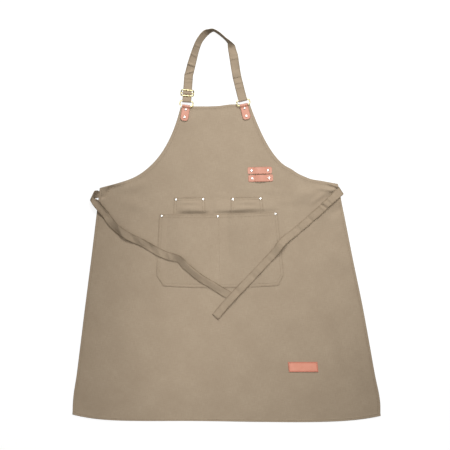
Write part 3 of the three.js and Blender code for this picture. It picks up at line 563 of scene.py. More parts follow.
def strip(sections, section, raised=None, end_round=1.2, curl=None, face=1.0, painted_shade=0.0):
    """A flat section carried along a path: place across + normal height, thinned to the ends as a
    quarter circle, with an extra height in plan. The edge value is |across|^10, painted shade on a strap's
    edges and burnish on leather, or the painted shade of that section if it is more. Returns points, quads,
    plan, edge."""
    centre, half, normal = sections
    across, height = section
    step = np.linalg.norm(np.diff(centre, axis=0), axis=1)
    along = np.concatenate([[0], np.cumsum(step)])
    from_end = np.minimum(along, along[-1] - along)
    thin = np.sqrt(1 - (1 - np.clip(from_end / end_round, 0.12, 1)) ** 2)
    points = carried(sections, across, curl, face)
    points = points + normal[:, None] * (height[None] * thin[:, None])[..., None]
    if raised is not None:
        points[..., 2] += raised(points[..., 0], points[..., 1], np.arange(len(centre))[:, None])
        points[..., 2] = np.maximum(points[..., 2], FLOOR_CLEAR)
    count, size = points.shape[:2]
    ids = np.arange(count * size).reshape(count, size)
    nxt = np.roll(ids, -1, axis=1)
    tube = np.stack([ids[:-1], nxt[:-1], nxt[1:], ids[1:]], axis=-1).reshape(-1, 4)
    k = np.arange(size // 2 - 1)
    cap = np.stack([k, k + 1, size - 2 - k, size - 1 - k], axis=-1)
    quads = np.concatenate([tube, cap[:, ::-1], cap + ids[-1, 0]])
    width = np.linalg.norm(half, axis=1)
    plan = np.stack([across[None] * width[:, None], np.broadcast_to(along[:, None], (count, size))], axis=-1)
    edge = np.maximum(np.abs(across)[None] ** 10, np.reshape(painted_shade, (-1, 1))) * np.ones((count, 1))
    return points.reshape(-1, 3), quads, plan.reshape(-1, 2), edge.ravel()


def tube_loop(line, radius, sides=14):
    """A round wire on a closed line: circles square to the line, joined all round."""
    run = unit(np.roll(line, -1, axis=0) - np.roll(line, 1, axis=0))
    side = unit(np.cross(run, UP))
    rise = np.cross(side, run)
    angle = 2 * np.pi * np.arange(sides) / sides
    points = (
        line[:, None]
        + radius * side[:, None] * np.cos(angle)[None, :, None]
        + radius * rise[:, None] * np.sin(angle)[None, :, None]
    )
    ids = np.arange(len(line) * sides).reshape(len(line), sides)
    ahead, nxt = np.roll(ids, -1, axis=0), np.roll(ids, -1, axis=1)
    quads = np.stack([ids, nxt, np.roll(ahead, -1, axis=1), ahead], axis=-1).reshape(-1, 4)
    return points.reshape(-1, 3), quads


def lathe(profile, x, y, sides=28):
    """A profile of (radius, height) turned about a vertical line, closed at both of its poles."""
    profile = np.array(profile, dtype=float)
    angle = 2 * np.pi * np.arange(sides) / sides
    ring = profile[1:-1]
    points = np.stack([
        x + ring[:, :1] * np.cos(angle),
        y + ring[:, :1] * np.sin(angle),
        np.broadcast_to(ring[:, 1:], (len(ring), sides)),
    ], axis=-1).reshape(-1, 3)
    ids = np.arange(len(points)).reshape(len(ring), sides)
    nxt = np.roll(ids, -1, axis=1)
    body = np.stack([ids[:-1], nxt[:-1], nxt[1:], ids[1:]], axis=-1).reshape(-1, 4)
    first, last = np.full(sides, len(points)), np.full(sides, len(points) + 1)
    start = np.stack([first, nxt[0], ids[0], ids[0]], axis=-1)
    end = np.stack([last, ids[-1], nxt[-1], nxt[-1]], axis=-1)
    poles = np.array([[x, y, profile[0, 1]], [x, y, profile[-1, 1]]])
    return np.concatenate([points, poles]), np.concatenate([body, start[:, ::-1], end[:, ::-1]])


def smooth_line(rows, steps, power=0.25):
    """Curve through rows of values: cubic pieces whose end slopes are weighed by the distances
    between rows to the given power of their squares, a centripetal line at one quarter."""
    before = np.vstack([2 * rows[:1] - rows[1:2], rows[:-2]])
    here, after = rows[:-1], rows[1:]
    beyond = np.vstack([rows[2:], 2 * rows[-1:] - rows[-2:-1]])

    def span(a, b):
        """Weight of a piece: the squared distance between its rows, never zero, to the power."""
        return np.maximum(((a - b) ** 2).sum(axis=1, keepdims=True), 1e-6) ** power

    d0, d1, d2 = span(before, here), span(here, after), span(after, beyond)
    slope_a = ((here - before) / d0 - (after - before) / (d0 + d1) + (after - here) / d1) * d1
    slope_b = ((after - here) / d1 - (beyond - here) / (d1 + d2) + (beyond - after) / d2) * d1
    t = (np.arange(steps) / steps)[None, :, None]
    here, after, slope_a, slope_b = (value[:, None] for value in (here, after, slope_a, slope_b))
    curve = here + slope_a * t + (3 * (after - here) - 2 * slope_a - slope_b) * t**2
    curve = curve + (2 * (here - after) + slope_a + slope_b) * t**3
    return np.vstack([curve.reshape(-1, rows.shape[1]), rows[-1:]])


def inside(loop, x, y):
    """Crossing rule: a place is inside if a line to its right meets the loop an odd number of times."""
    x1, y1 = loop.T
    x0, y0 = np.roll(loop, 1, axis=0).T
    px, py = x[..., None], y[..., None]
    spans = (y1 > py) != (y0 > py)
    slope = np.where(np.abs(y0 - y1) < 1e-9, 1.0, y0 - y1)
    return (spans & (px < (x0 - x1) * (py - y1) / slope + x1)).sum(axis=-1) % 2 == 1


def arc(along, height, radius, start, end, steps):
    """Points (along, height) on an arc between two angles in degrees."""
    angle = np.radians(np.linspace(start, end, steps + 1))
    return np.stack([along + radius * np.cos(angle), height + radius * np.sin(angle)], axis=-1)


def on_heading(profile, origin, degrees, half):
    """Centres, half widths and normals of a strip whose side view (along, height) is given."""
    forward = heading(degrees)
    right = np.cross(forward, UP)
    run = unit(np.gradient(profile, axis=0))
    centre = origin + profile[:, :1] * forward + profile[:, 1:] * UP
    normal = -run[:, 1:] * forward + run[:, :1] * UP
    return centre, np.broadcast_to(right, centre.shape) * np.reshape(half, (-1, 1)), normal


def rounded_loop(wide, tall, corner, steps):
    """Centre line of a rounded rectangle as (across, along) points, corner by corner."""
    turn = np.radians(np.linspace(0, 90, steps + 1))
    parts = []
    for k, (sx, sy) in enumerate(((1, 1), (-1, 1), (-1, -1), (1, -1))):
        angle = turn + np.pi / 2 * k
        parts.append(np.stack([
            sx * (wide / 2 - corner) + corner * np.cos(angle),
            sy * (tall / 2 - corner) + corner * np.sin(angle),
        ], axis=-1))
    return np.concatenate(parts)


def resample_loop(line, spacing):
    """A closed line's points set evenly along its length."""
    closed = np.vstack([line, line[:1]])
    far = np.concatenate([[0], np.cumsum(np.linalg.norm(np.diff(closed, axis=0), axis=1))])
    at = np.arange(0, far[-1] - spacing / 2, spacing)
    return np.stack([np.interp(at, far, closed[:, k]) for k in range(closed.shape[1])], axis=-1)


def stitches(rows):
    """Stitch rows as low beads of thread: at each spacing along a path, a five-sided bead's
    two rings of five points and its two sunk tips, laid along the path."""
    starts = []
    ends = []
    for row in rows:
        far = np.concatenate([[0], np.cumsum(np.linalg.norm(np.diff(row, axis=0), axis=1))])
        count = max(1, int(far[-1] / STITCH_PITCH))
        at = (np.arange(count) + 0.5) * far[-1] / count
        starts.append(np.stack([np.interp(at - STITCH_LONG / 2, far, row[:, k]) for k in range(3)], axis=-1))
        ends.append(np.stack([np.interp(at + STITCH_LONG / 2, far, row[:, k]) for k in range(3)], axis=-1))
    start, end = np.concatenate(starts), np.concatenate(ends)
    run = unit(end - start + 1e-9)
    side = unit(np.cross(run, UP))
    rise = np.cross(side, run)
    angle = 2 * np.pi * np.arange(5) / 5
    circle = THREAD * (side[:, None] * np.cos(angle)[:, None] + rise[:, None] * np.sin(angle)[:, None])
    low, high = (mix(start, end, share)[:, None] + circle for share in BEAD_RINGS)
    sink = UP * THREAD * TIP_SINK
    points = np.concatenate([(start - sink)[:, None], low, high, (end - sink)[:, None]], axis=1)
    k = np.arange(5)
    n = (k + 1) % 5
    tip = np.stack([np.zeros(5, int), 1 + n, 1 + k, 1 + k], axis=-1)
    wall = np.stack([1 + k, 1 + n, 6 + n, 6 + k], axis=-1)
    tail = np.stack([np.full(5, 11), 6 + k, 6 + n, 6 + n], axis=-1)
    bead = np.concatenate([tip, wall, tail])
    quads = (bead[None] + 12 * np.arange(len(points))[:, None, None]).reshape(-1, 4)
    return points.reshape(-1, 3), quads


def linear(code):
    """sRGB hex to linear: c / 12.92 up to 0.04045, above it ((c + 0.055) / 1.055)^2.4."""
    c = np.array([int(code[k:k + 2], 16) for k in (1, 3, 5)]) / 255
    rgb = np.where(c <= 0.04045, c / 12.92, ((c + 0.055) / 1.055) ** 2.4)
    return (*rgb.tolist(), 1.0)


def add_node(tree, kind, settings=None, values=None, links=None):
    """Adds a node, sets its properties and sockets, and links other nodes' sockets to its inputs."""
    made = tree.nodes.new(kind)
    for name, value in (settings or {}).items():
        setattr(made, name, value)
    for socket, value in (values or {}).items():
        made.inputs[socket].default_value = value
    for socket, source in (links or {}).items():
        tree.links.new(source, made.inputs[socket])
    return made


def new_material(name, values):
    """A material with one principled shader: constants on its sockets, the rest linked later."""
    material = bpy.data.materials.new(name)
    material.use_nodes = True
    tree = material.node_tree
    tree.nodes.clear()
    shader = add_node(tree, "ShaderNodeBsdfPrincipled", values=values)
    add_node(tree, "ShaderNodeOutputMaterial", links={"Surface": shader.outputs["BSDF"]})
    return material, tree, shader


# Settings of a blend of two colours: factor in socket 0, colours in 6 and 7, result out of 2
COLOUR = {"data_type": "RGBA"}


def woven_canvas(name, face, shade, soil_and_shade_colour, soil_and_shade_strength, thread_mm, slub_mm):
    """Plain-woven cotton canvas, dyed in the piece and washed. To the eye: matt, with a fine
    over-and-under weave with painted shade in its hollows, thicker slub threads both ways, cloudy dye
    and edges darkened by soil and painted shade."""
    material, tree, shader = new_material(name, {
        "Roughness": 0.92, "Specular IOR Level": 0.18, "Sheen Weight": 0.22, "Sheen Roughness": 0.55,
        "Sheen Tint": linear("#e6dccb"),
    })
    plan = add_node(tree, "ShaderNodeUVMap", {"uv_map": CUT_PLAN}).outputs["UV"]
    half_turns = np.pi / (thread_mm * MM)
    phase = add_node(
        tree, "ShaderNodeVectorMath", {"operation": "MULTIPLY"}, {1: (half_turns, half_turns, 1)}, {0: plan})
    wave = add_node(tree, "ShaderNodeVectorMath", {"operation": "SINE"}, links={0: phase.outputs[0]})
    threads = add_node(tree, "ShaderNodeSeparateXYZ", links={0: wave.outputs[0]})
    crossing = add_node(
        tree, "ShaderNodeMath", {"operation": "MULTIPLY"},
        links={0: threads.outputs[0], 1: threads.outputs[1]})
    # Slubs: noise drawn out twelve times along the warp, then along the weft
    slubs = []
    for scale in ((1 / slub_mm, 1 / (12 * slub_mm), 1), (1 / (12 * slub_mm), 1 / slub_mm, 1)):
        stretched = add_node(
            tree, "ShaderNodeVectorMath", {"operation": "MULTIPLY"},
            {1: (scale[0] / MM, scale[1] / MM, 1)}, {0: plan})
        slubs.append(add_node(
            tree, "ShaderNodeTexNoise", values={"Scale": 1.0, "Detail": 3.0, "Roughness": 0.6},
            links={"Vector": stretched.outputs[0]}).outputs["Fac"])
    slub = add_node(tree, "ShaderNodeMath", {"operation": "ADD"}, links={0: slubs[0], 1: slubs[1]})
    cloud = add_node(
        tree, "ShaderNodeTexNoise", values={"Scale": 1 / (70 * MM), "Detail": 5.0, "Roughness": 0.62},
        links={"Vector": plan})
    cloudy = add_node(
        tree, "ShaderNodeMapRange", values={"From Min": 0.3, "From Max": 0.7, "To Min": 0.0, "To Max": 0.55},
        links={"Value": cloud.outputs["Fac"]})
    dyed = add_node(
        tree, "ShaderNodeMix", COLOUR, {6: linear(face), 7: linear(shade)}, {0: cloudy.outputs[0]})
    streak = add_node(
        tree, "ShaderNodeMapRange", values={"From Min": 0.85, "From Max": 1.15, "To Min": 0.0, "To Max": 0.5},
        links={"Value": slub.outputs[0]})
    streaked = add_node(
        tree, "ShaderNodeMix", COLOUR, {7: linear(shade)}, {0: streak.outputs[0], 6: dyed.outputs[2]})
    # Painted shade in the weave's hollows: the shade colour mixed in where the threads dip
    weave_hollow_shade = add_node(
        tree, "ShaderNodeMapRange", values={"From Min": -1.0, "From Max": 1.0, "To Min": 0.24, "To Max": 0.0},
        links={"Value": crossing.outputs[0]})
    woven = add_node(
        tree, "ShaderNodeMix", COLOUR, {7: linear(shade)}, {0: weave_hollow_shade.outputs[0], 6: streaked.outputs[2]})
    # Edge darkening, patchy by noise: the third colour mixed in by the edge attribute, painted shade with
    # some soil
    edge = add_node(tree, "ShaderNodeAttribute", {"attribute_name": EDGE})
    edge_patch_noise = add_node(
        tree, "ShaderNodeTexNoise", values={"Scale": 1 / (20 * MM), "Detail": 2.0}, links={"Vector": plan})
    uneven = add_node(
        tree, "ShaderNodeMapRange",
        values={"From Min": 0.38, "From Max": 0.6, "To Min": 0.3 * soil_and_shade_strength, "To Max": soil_and_shade_strength},
        links={"Value": edge_patch_noise.outputs["Fac"]})
    edge_soil_and_shade = add_node(
        tree, "ShaderNodeMath", {"operation": "MULTIPLY"},
        links={0: uneven.outputs[0], 1: edge.outputs["Fac"]})
    soiled_and_shaded = add_node(
        tree, "ShaderNodeMix", COLOUR, {7: linear(soil_and_shade_colour)}, {0: edge_soil_and_shade.outputs[0], 6: woven.outputs[2]})
    tree.links.new(soiled_and_shaded.outputs[2], shader.inputs["Base Color"])
    relief = add_node(
        tree, "ShaderNodeMath", {"operation": "MULTIPLY_ADD"}, {1: 0.5},
        {0: crossing.outputs[0], 2: slub.outputs[0]})
    bump = add_node(
        tree, "ShaderNodeBump", values={"Strength": 0.35, "Distance": 0.25 * MM},
        links={"Height": relief.outputs[0]})
    tree.links.new(bump.outputs[0], shader.inputs["Normal"])
    return material


def tanned_leather(name, face, shade, rim):
    """Vegetable-tanned cowhide, cut to strips and waxed. To the eye: a soft low gloss, fine pebble
    grain, slow changes of tan, and cut edges burnished darker and redder."""
    material, tree, shader = new_material(name, {
        "Specular IOR Level": 0.4, "Coat Weight": 0.06, "Coat Roughness": 0.4,
    })
    place = add_node(tree, "ShaderNodeTexCoord").outputs["Object"]
    # Pebble grain of about 0.8 mm, drawn at 1.5 mm so that it shows
    grain = add_node(tree, "ShaderNodeTexVoronoi", {"feature": "DISTANCE_TO_EDGE"},
                     {"Scale": 1 / (1.5 * MM), "Randomness": 1.0}, {"Vector": place})
    pebble = add_node(
        tree, "ShaderNodeMapRange", values={"From Min": 0.0, "From Max": 0.25, "To Min": 0.0, "To Max": 1.0},
        links={"Value": grain.outputs["Distance"]})
    cloud = add_node(
        tree, "ShaderNodeTexNoise", values={"Scale": 1 / (16 * MM), "Detail": 4.0}, links={"Vector": place})
    tan = add_node(
        tree, "ShaderNodeMix", COLOUR, {6: linear(face), 7: linear(shade)}, {0: cloud.outputs["Fac"]})
    pore = add_node(
        tree, "ShaderNodeMapRange", values={"From Min": 0.0, "From Max": 1.0, "To Min": 0.35, "To Max": 0.0},
        links={"Value": pebble.outputs[0]})
    grained = add_node(
        tree, "ShaderNodeMix", COLOUR, {7: linear(shade)}, {0: pore.outputs[0], 6: tan.outputs[2]})
    edge = add_node(tree, "ShaderNodeAttribute", {"attribute_name": EDGE})
    burnish = add_node(tree, "ShaderNodeMath", {"operation": "MULTIPLY"}, {1: 0.75}, {0: edge.outputs["Fac"]})
    rimmed = add_node(
        tree, "ShaderNodeMix", COLOUR, {7: linear(rim)}, {0: burnish.outputs[0], 6: grained.outputs[2]})
    tree.links.new(rimmed.outputs[2], shader.inputs["Base Color"])
    gloss = add_node(
        tree, "ShaderNodeMapRange", values={"From Min": 0.3, "From Max": 0.7, "To Min": 0.48, "To Max": 0.66},
        links={"Value": cloud.outputs["Fac"]})
    tree.links.new(gloss.outputs[0], shader.inputs["Roughness"])
    bump = add_node(
        tree, "ShaderNodeBump", values={"Strength": 0.3, "Distance": 0.15 * MM},
        links={"Height": pebble.outputs[0]})
    tree.links.new(bump.outputs[0], shader.inputs["Normal"])
    return material


def polished_metal(name, face, shade, low, high, grain_mm):
    """Drawn or stamped metal, tumbled bright. To the eye: clear highlights, softened in patches by
    handling, with hairline marks and a little tarnish."""
    material, tree, shader = new_material(name, {"Metallic": 1.0})
    place = add_node(tree, "ShaderNodeTexCoord").outputs["Object"]
    marks = add_node(
        tree, "ShaderNodeTexNoise", values={"Scale": 1 / (grain_mm * MM), "Detail": 6.0, "Roughness": 0.7},
        links={"Vector": place})
    tarnish = add_node(
        tree, "ShaderNodeMapRange", values={"From Min": 0.35, "From Max": 0.8, "To Min": 0.0, "To Max": 0.6},
        links={"Value": marks.outputs["Fac"]})
    dulled = add_node(
        tree, "ShaderNodeMix", COLOUR, {6: linear(face), 7: linear(shade)}, {0: tarnish.outputs[0]})
    tree.links.new(dulled.outputs[2], shader.inputs["Base Color"])
    gloss = add_node(
        tree, "ShaderNodeMapRange", values={"From Min": 0.3, "From Max": 0.75, "To Min": low, "To Max": high},
        links={"Value": marks.outputs["Fac"]})
    tree.links.new(gloss.outputs[0], shader.inputs["Roughness"])
    return material


def spun_thread(name, face, shade):
    """Twisted cotton sewing thread. To the eye: matt, a shade off the cloth, with a fine twist."""
    material, tree, shader = new_material(name, {
        "Roughness": 0.85, "Specular IOR Level": 0.2, "Sheen Weight": 0.15,
    })
    place = add_node(tree, "ShaderNodeTexCoord").outputs["Object"]
    # Ply twist of about 0.5 mm, drawn at 0.9 mm
    twist = add_node(tree, "ShaderNodeTexWave", {"bands_direction": "DIAGONAL"},
                     {"Scale": 1 / (0.9 * MM) / 20, "Distortion": 1.5}, {"Vector": place})
    plied = add_node(
        tree, "ShaderNodeMix", COLOUR, {6: linear(face), 7: linear(shade)}, {0: twist.outputs["Fac"]})
    tree.links.new(plied.outputs[2], shader.inputs["Base Color"])
    bump = add_node(
        tree, "ShaderNodeBump", values={"Strength": 0.3, "Distance": 0.1 * MM},
        links={"Height": twist.outputs["Fac"]})
    tree.links.new(bump.outputs[0], shader.inputs["Normal"])
    return material


# Threads are about 0.7 mm apart in the cloth and are drawn at 1.9 and 1.6 mm, so that the weave shows
# The third colour darkens edges: on the body and pockets partly soil, partly painted shade along hems and
# pocket edges; on the straps painted shade of the edge lines, the neck strap's apex and the ties' fold turns
BODY_CANVAS = woven_canvas("cotton_canvas_plain_woven", "#b0a08b", "#9d8c78", "#86755f", 0.3, 1.9, 1.3)
STRAP_CANVAS = woven_canvas("cotton_canvas_strap_folded", "#ac9c87", "#988773", "#67573f", 0.95, 1.6, 1.1)
TAN_LEATHER = tanned_leather("cowhide_vegetable_tanned", "#dca38f", "#c98b75", "#a8634c")
LABEL_LEATHER = tanned_leather("cowhide_label_embossed", "#eca690", "#d88f77", "#c8705a")
BRASS = polished_metal("brass_wire_drawn_polished", "#e2d8aa", "#c2b26f", 0.28, 0.4, 9.0)
NICKEL = polished_metal("nickel_plated_steel_pressed", "#eae9e6", "#d2d0cb", 0.3, 0.42, 3.0)
CANVAS_THREAD = spun_thread("cotton_thread_undyed_match", "#a1907a", "#8b7a64")
LABEL_THREAD = spun_thread("cotton_thread_rust", "#b9634b", "#9c4c38")


def body_edges():
    """Outline of the body, clockwise from the bib's left corner. The bib's top is a smooth step with a
    crown, an armhole is a cubic curve with bell-shaped bulges, a side is a straight line with a
    parabolic bow and a flare, and the hem sags as 1 - |2u - 1|^roundness with a bell-shaped hollow.
    The rows are bunched beside the pocket mouths."""
    columns, arm_rows, side_rows = 160, 72, 140
    dense_rows, dense_share = 48, 0.145
    row = np.linspace(0, 1, side_rows + 1)
    spread = np.interp(row, [0, dense_rows / side_rows, 1], [0, dense_share, 1])
    sides = {}
    for name, (top_angle, top_pull, low_angle, low_pull) in ARMHOLE.items():
        sign = SIDE_SIGN[name]
        bib, waist, hem = np.array(BIB[name]), np.array(WAIST[name]), np.array(HEM[name])
        a, b = np.radians(top_angle), np.radians(low_angle)
        pull_top = bib + top_pull * np.array([sign * np.sin(a), -np.cos(a)])
        pull_low = waist + low_pull * np.array([-sign * np.cos(b), np.sin(b)])
        t = np.linspace(0, 1, arm_rows + 1)[:, None]
        ends = (1 - t) ** 3 * bib + t**3 * waist
        arm = ends + 3 * t * (1 - t) ** 2 * pull_top + 3 * t**2 * (1 - t) * pull_low
        for at_x, half, rise in ARM_BULGES[name]:
            arm[:, 1] += rise * bell(arm[:, 0], at_x, half)
        side = mix(waist, hem, spread[:, None])
        flare, swing = SIDE_FLARE[name]
        low = flare * ease((spread - FLARE[0]) / FLARE[1]) * ease((1 - spread) / FLARE[2])
        near_hem = swing * bell(spread, SWING[0], SWING[1]) * ease((1 - spread) / SWING[2])
        side[:, 0] += sign * (SIDE_BOW[name] * 4 * spread * (1 - spread) + low + near_hem)
        sides[name] = (arm, side)
    u = np.linspace(0, 1, columns + 1)
    climb = mix(BIB["left"][1], BIB["right"][1], ease((u - BIB_STEP[0]) / BIB_STEP[1]))
    crown = BIB_RISE * ease(u / BIB_CROWN[0]) * ease((BIB_CROWN[1] - u) / BIB_CROWN[2])
    top = np.stack([mix(BIB["left"][0], BIB["right"][0], u), climb + crown], axis=-1)
    bottom = mix(np.array(HEM["left"]), np.array(HEM["right"]), u[:, None])
    roundness = np.where(u < 0.5, HEM_ROUNDNESS["left"], HEM_ROUNDNESS["right"])
    bottom[:, 1] -= HEM_SAG * (1 - np.abs(2 * u - 1) ** roundness)
    bottom[:, 1] += HEM_RISE * bell(u, *HEM_HOLLOW)
    (arm_left, side_left), (arm_right, side_right) = sides["left"], sides["right"]
    return [top, arm_right, side_right, bottom[::-1], side_left[::-1], arm_left[::-1]]


BODY_EDGES = body_edges()
SIX_SIDED = ((0,), (1, 2), (3,), (4, 5))     # edges that make the top, right, bottom and left
FOUR_SIDED = ((0,), (1,), (2,), (3,))
LARGE_EDGES = [
    along_edge(*MOUTH, 110, MOUTH_SAG),
    along_edge(MOUTH[1], POCKET_LOW[1], 52),
    along_edge(POCKET_LOW[1], POCKET_BOTTOM[1], 14),
    along_edge(*POCKET_BOTTOM, 110, POCKET_BOTTOM_SAG)[::-1],
    along_edge(POCKET_BOTTOM[0], POCKET_LOW[0], 14),
    along_edge(POCKET_LOW[0], MOUTH[0], 52),
]


def hem_relief(far):
    """Relief of a hem's top: a groove at the stitch row, and a step down past the turned cloth."""
    groove = HEM_GROOVE * bell(far, HEM_STITCH, HEM_GROOVE_HALF)
    return -groove - HEM_STEP * ease((far - HEM_WIDTH + HEM_STEP_LEAD) / HEM_STEP_LONG)


def body_surface(x, y, far):
    """Body top with its hem."""
    return body_top(x, y) + hem_relief(far)


def body_thick(far):
    """Two turned layers in the hem, one inside it, less part of the grooves."""
    return mix(BODY_HEM, CLOTH, ease((far - HEM_WIDTH) / THINNING)) + hem_relief(far) * GROOVE_SHARE


def pocket_relief(far):
    """Relief of a pocket's turned edge: a groove at each of two stitch rows, then a small step."""
    grooves = sum(bell(far, row, POCKET_GROOVE_HALF) for row in POCKET_STITCHES)
    return -POCKET_GROOVE * grooves - POCKET_STEP * ease((far - POCKET_TURN) / POCKET_STEP_LONG)


def pocket_thick(far):
    """Even cloth, less part of the grooves."""
    return POCKET_HEM + pocket_relief(far) * GROOVE_SHARE


def ring_row(edges, inset, top):
    """Closed stitch path at a distance in from the edges, just over the cloth."""
    ring = ring_of(edges, inset)
    ring = np.vstack([ring, ring[:1]])
    z = top(ring[:, 0], ring[:, 1], np.full(len(ring), inset)) + THREAD * 0.5
    return np.column_stack([ring, z])


def sewn_panel(name, node, edges, sides, insets, top, thick, rows):
    """A panel and its stitch rows; the panel stands for the part's sheet of cloth, which is hidden."""
    points, quads, plan, edge = panel(edges, sides, insets, CLOTH_RIM, top, thick)
    cloth = make_piece(f"{node}_canvas", points, quads, BODY_CANVAS, "canvas", plan, edge, (node,))
    sewing = make_piece(f"{name}_stitching", *stitches(rows), CANVAS_THREAD, "canvas")


# Body
BODY_INSETS = [1.8, 3.0, 4.2, 5.2, 5.8, 6.4, 7.0, 7.6, 8.3, 9.2, 10.4, 12.0]
sewn_panel("body_hem", "apron_body", BODY_EDGES, SIX_SIDED, BODY_INSETS, body_surface, body_thick,
           [ring_row(BODY_EDGES, HEM_STITCH, body_surface)])

# Pockets, the large one with a seam down its middle
POCKET_INSETS = [1.5, 2.0, 2.6, 4.0, 6.0, 7.3, 8.0, 8.6, 9.6, 10.8, 12.0]


def large_surface(x, y, far):
    """Large pocket top with its turned edges."""
    return large_top(x, y) + pocket_relief(far)


seam_down = np.linspace(0.06, 1.0, 60)
seam_left, seam_right = (mix(MOUTH[k][0], POCKET_LOW[k][0], seam_down) for k in (0, 1))
seam_x = mix(seam_left, seam_right, GAPE_SEAM)
seam_y = mix(mouth_line(seam_x[0]), POCKET_BOTTOM[0][1] - SEAM_PAST, seam_down)
seam = np.column_stack([seam_x, seam_y, large_top(seam_x, seam_y) - SEAM_SUNK])
large_rows = [ring_row(LARGE_EDGES, inset, large_surface) for inset in POCKET_STITCHES]
sewn_panel("large_pocket", "large_pocket", LARGE_EDGES, SIX_SIDED, POCKET_INSETS, large_surface,
           pocket_thick, [*large_rows, seam])

for name, pocket in SMALL_POCKETS.items():
    (top_left, top_right), (low_left, low_right) = pocket
    small_corner = (top_left, top_right, low_right, low_left)
    small_edges = [along_edge(small_corner[k], small_corner[(k + 1) % 4], 48) for k in range(4)]
    small_height = small_top(pocket)

    def small_surface(x, y, far, height=small_height):
        """Small pocket top with its turned edges."""
        return height(x, y) + pocket_relief(far)

    small_rows = [ring_row(small_edges, inset, small_surface) for inset in POCKET_STITCHES]
    sewn_panel(f"small_pocket_{name}", f"small_pocket_{name}", small_edges, FOUR_SIDED, POCKET_INSETS,
               small_surface, pocket_thick, small_rows)


def strap_rows(sections, raised, first, last, face, curl):
    """Stitch paths along both edges of a strap, on the face that shows."""
    rows = []
    for side in (-STRAP_STITCH, STRAP_STITCH):
        path = carried(sections, np.array([side]), curl, face)[:, 0]
        path = (path + face * sections[2] * (STRAP / 2 + THREAD_OVER))[first:last]
        path[:, 2] += raised(path[:, 0], path[:, 1], np.arange(first, first + len(path)))
        rows.append(path)
    return rows


def sewn_strap(node, sections, width, raised, first, last, face, curl=None, painted_shade=0.0):
    """A folded and sewn strap and its two stitch rows; the strap stands for the part's sheet, which is
    hidden.
    """
    flat = flat_section(width / 2, STRAP)
    points, quads, plan, edge = strip(sections, flat, raised, curl=curl, face=face, painted_shade=painted_shade)
    cloth = make_piece(f"{node}_canvas", points, quads, STRAP_CANVAS, "strap_canvas", plan, edge, (node,))
    rows = strap_rows(sections, raised, first, last, face, curl)
    sewing = make_piece(f"{node}_stitching", *stitches(rows), CANVAS_THREAD, "strap_canvas")


def standing(course, base):
    """Sections of a strap from its two edges: half way between them, half of the way from the outer
    to the inner edge, and the normal square to that way in its own upright plane."""
    inner, outer, height = course[:, :2], course[:, 2:4], course[:, 4:]
    half = np.column_stack([inner - outer, -height]) / 2
    inward = half / np.linalg.norm(half[:, :2], axis=1, keepdims=True) * np.array([1, 1, 0])
    normal = unit(UP * np.linalg.norm(half[:, :2], axis=1, keepdims=True) + inward * height / 2)
    z = base + STRAP / 2 * normal[:, 2] + height[:, 0] / 2
    return np.column_stack([(inner + outer) / 2, z]), half, normal


def lying(course, width, base):
    """Sections of a strap on a course of x, y, lean: tipped by the lean, low edge at the base."""
    run = np.column_stack([np.gradient(course[:, :2], axis=0), np.zeros(len(course))])
    right = np.cross(unit(run), UP)
    lean = np.radians(course[:, 2:3])
    half = right * np.cos(lean) - UP * np.sin(lean)
    normal = UP * np.cos(lean) + right * np.sin(lean)
    z = base + STRAP / 2 * np.cos(lean[:, 0]) + width / 2 * np.abs(np.sin(lean[:, 0]))
    return np.column_stack([course[:, :2], z]), half * width / 2, normal


# Heights of the tab leaves, the rings and the slider
BACK_LEAF = LIFTS[2][4] + BODY_HEM + GAP + LEATHER / 2
FRONT_LEAF = BACK_LEAF + LEATHER + GAP
TAB_WRAP = WIRE + WRAP_GAP + LEATHER / 2
STRAP_WRAP = WIRE + WRAP_GAP + STRAP / 2
RING_HEIGHT = BACK_LEAF + TAB_WRAP
BAR_WRAP = MIDDLE_BAR + GAP + STRAP / 2
UNDER_FRAME = SLIDER_HEIGHT + SLIDER_BOW - WIRE - GAP - STRAP / 2
OVER_BAR = SLIDER_HEIGHT + BAR_WRAP + STRAP + GAP
ON_FLOOR = STRAP_CLEAR + STRAP / 2
HALF_FRAME = SLIDER_TALL / 2


def ring_bars(name):
    """Centres in plan of a ring's two long bars: under the tab and in the strap."""
    x, y, ring, _, _ = NECK_ENDS[name]
    centre = np.array([x, y, 0.0])
    toward = heading(ring) * RING_TALL / 2
    return centre - toward, centre + toward


# Rings and slider
for name, (x, y, ring, _, _) in NECK_ENDS.items():
    loop = resample_loop(rounded_loop(RING_WIDE, RING_TALL, RING_CORNER, 10), 1.1)
    forward = heading(ring)
    right = np.cross(forward, UP)
    line = np.array([x, y, RING_HEIGHT]) + loop[:, :1] * right + loop[:, 1:] * forward
    make_piece(f"strap_ring_{name}_wire", *tube_loop(line, WIRE), BRASS, "brass_wire",
               stands_for=(f"strap_ring_{name}",))

left_bar = ring_bars("left")[1]
strap_forward = heading(NECK_ENDS["left"][4])
strap_right = np.cross(strap_forward, UP)
loop = resample_loop(rounded_loop(SLIDER_WIDE, SLIDER_TALL, SLIDER_CORNER, 8), 1.0)
bowed = SLIDER_HEIGHT + SLIDER_BOW * (2 * loop[:, 1:] / SLIDER_TALL) ** 2
frame_line = left_bar + loop[:, :1] * strap_right + (SLIDER_ALONG + loop[:, 1:]) * strap_forward + bowed * UP
frame_points, frame_quads = tube_loop(frame_line, WIRE)
reach = np.linspace(-SLIDER_WIDE / 2, SLIDER_WIDE / 2, 9)[:, None]
bar_centre = left_bar + SLIDER_ALONG * strap_forward + SLIDER_HEIGHT * UP + reach * strap_right
bar_turn = 2 * np.pi * np.arange(14) / 14
bar_section = (-np.cos(bar_turn), MIDDLE_BAR * np.sin(bar_turn))
bar_half = np.broadcast_to(strap_forward * MIDDLE_BAR, bar_centre.shape)
bar_normal = np.broadcast_to(UP, bar_centre.shape)
bar_points, bar_quads, _, _ = strip((bar_centre, bar_half, bar_normal), bar_section)
bar_quads = outward(bar_points, bar_quads)
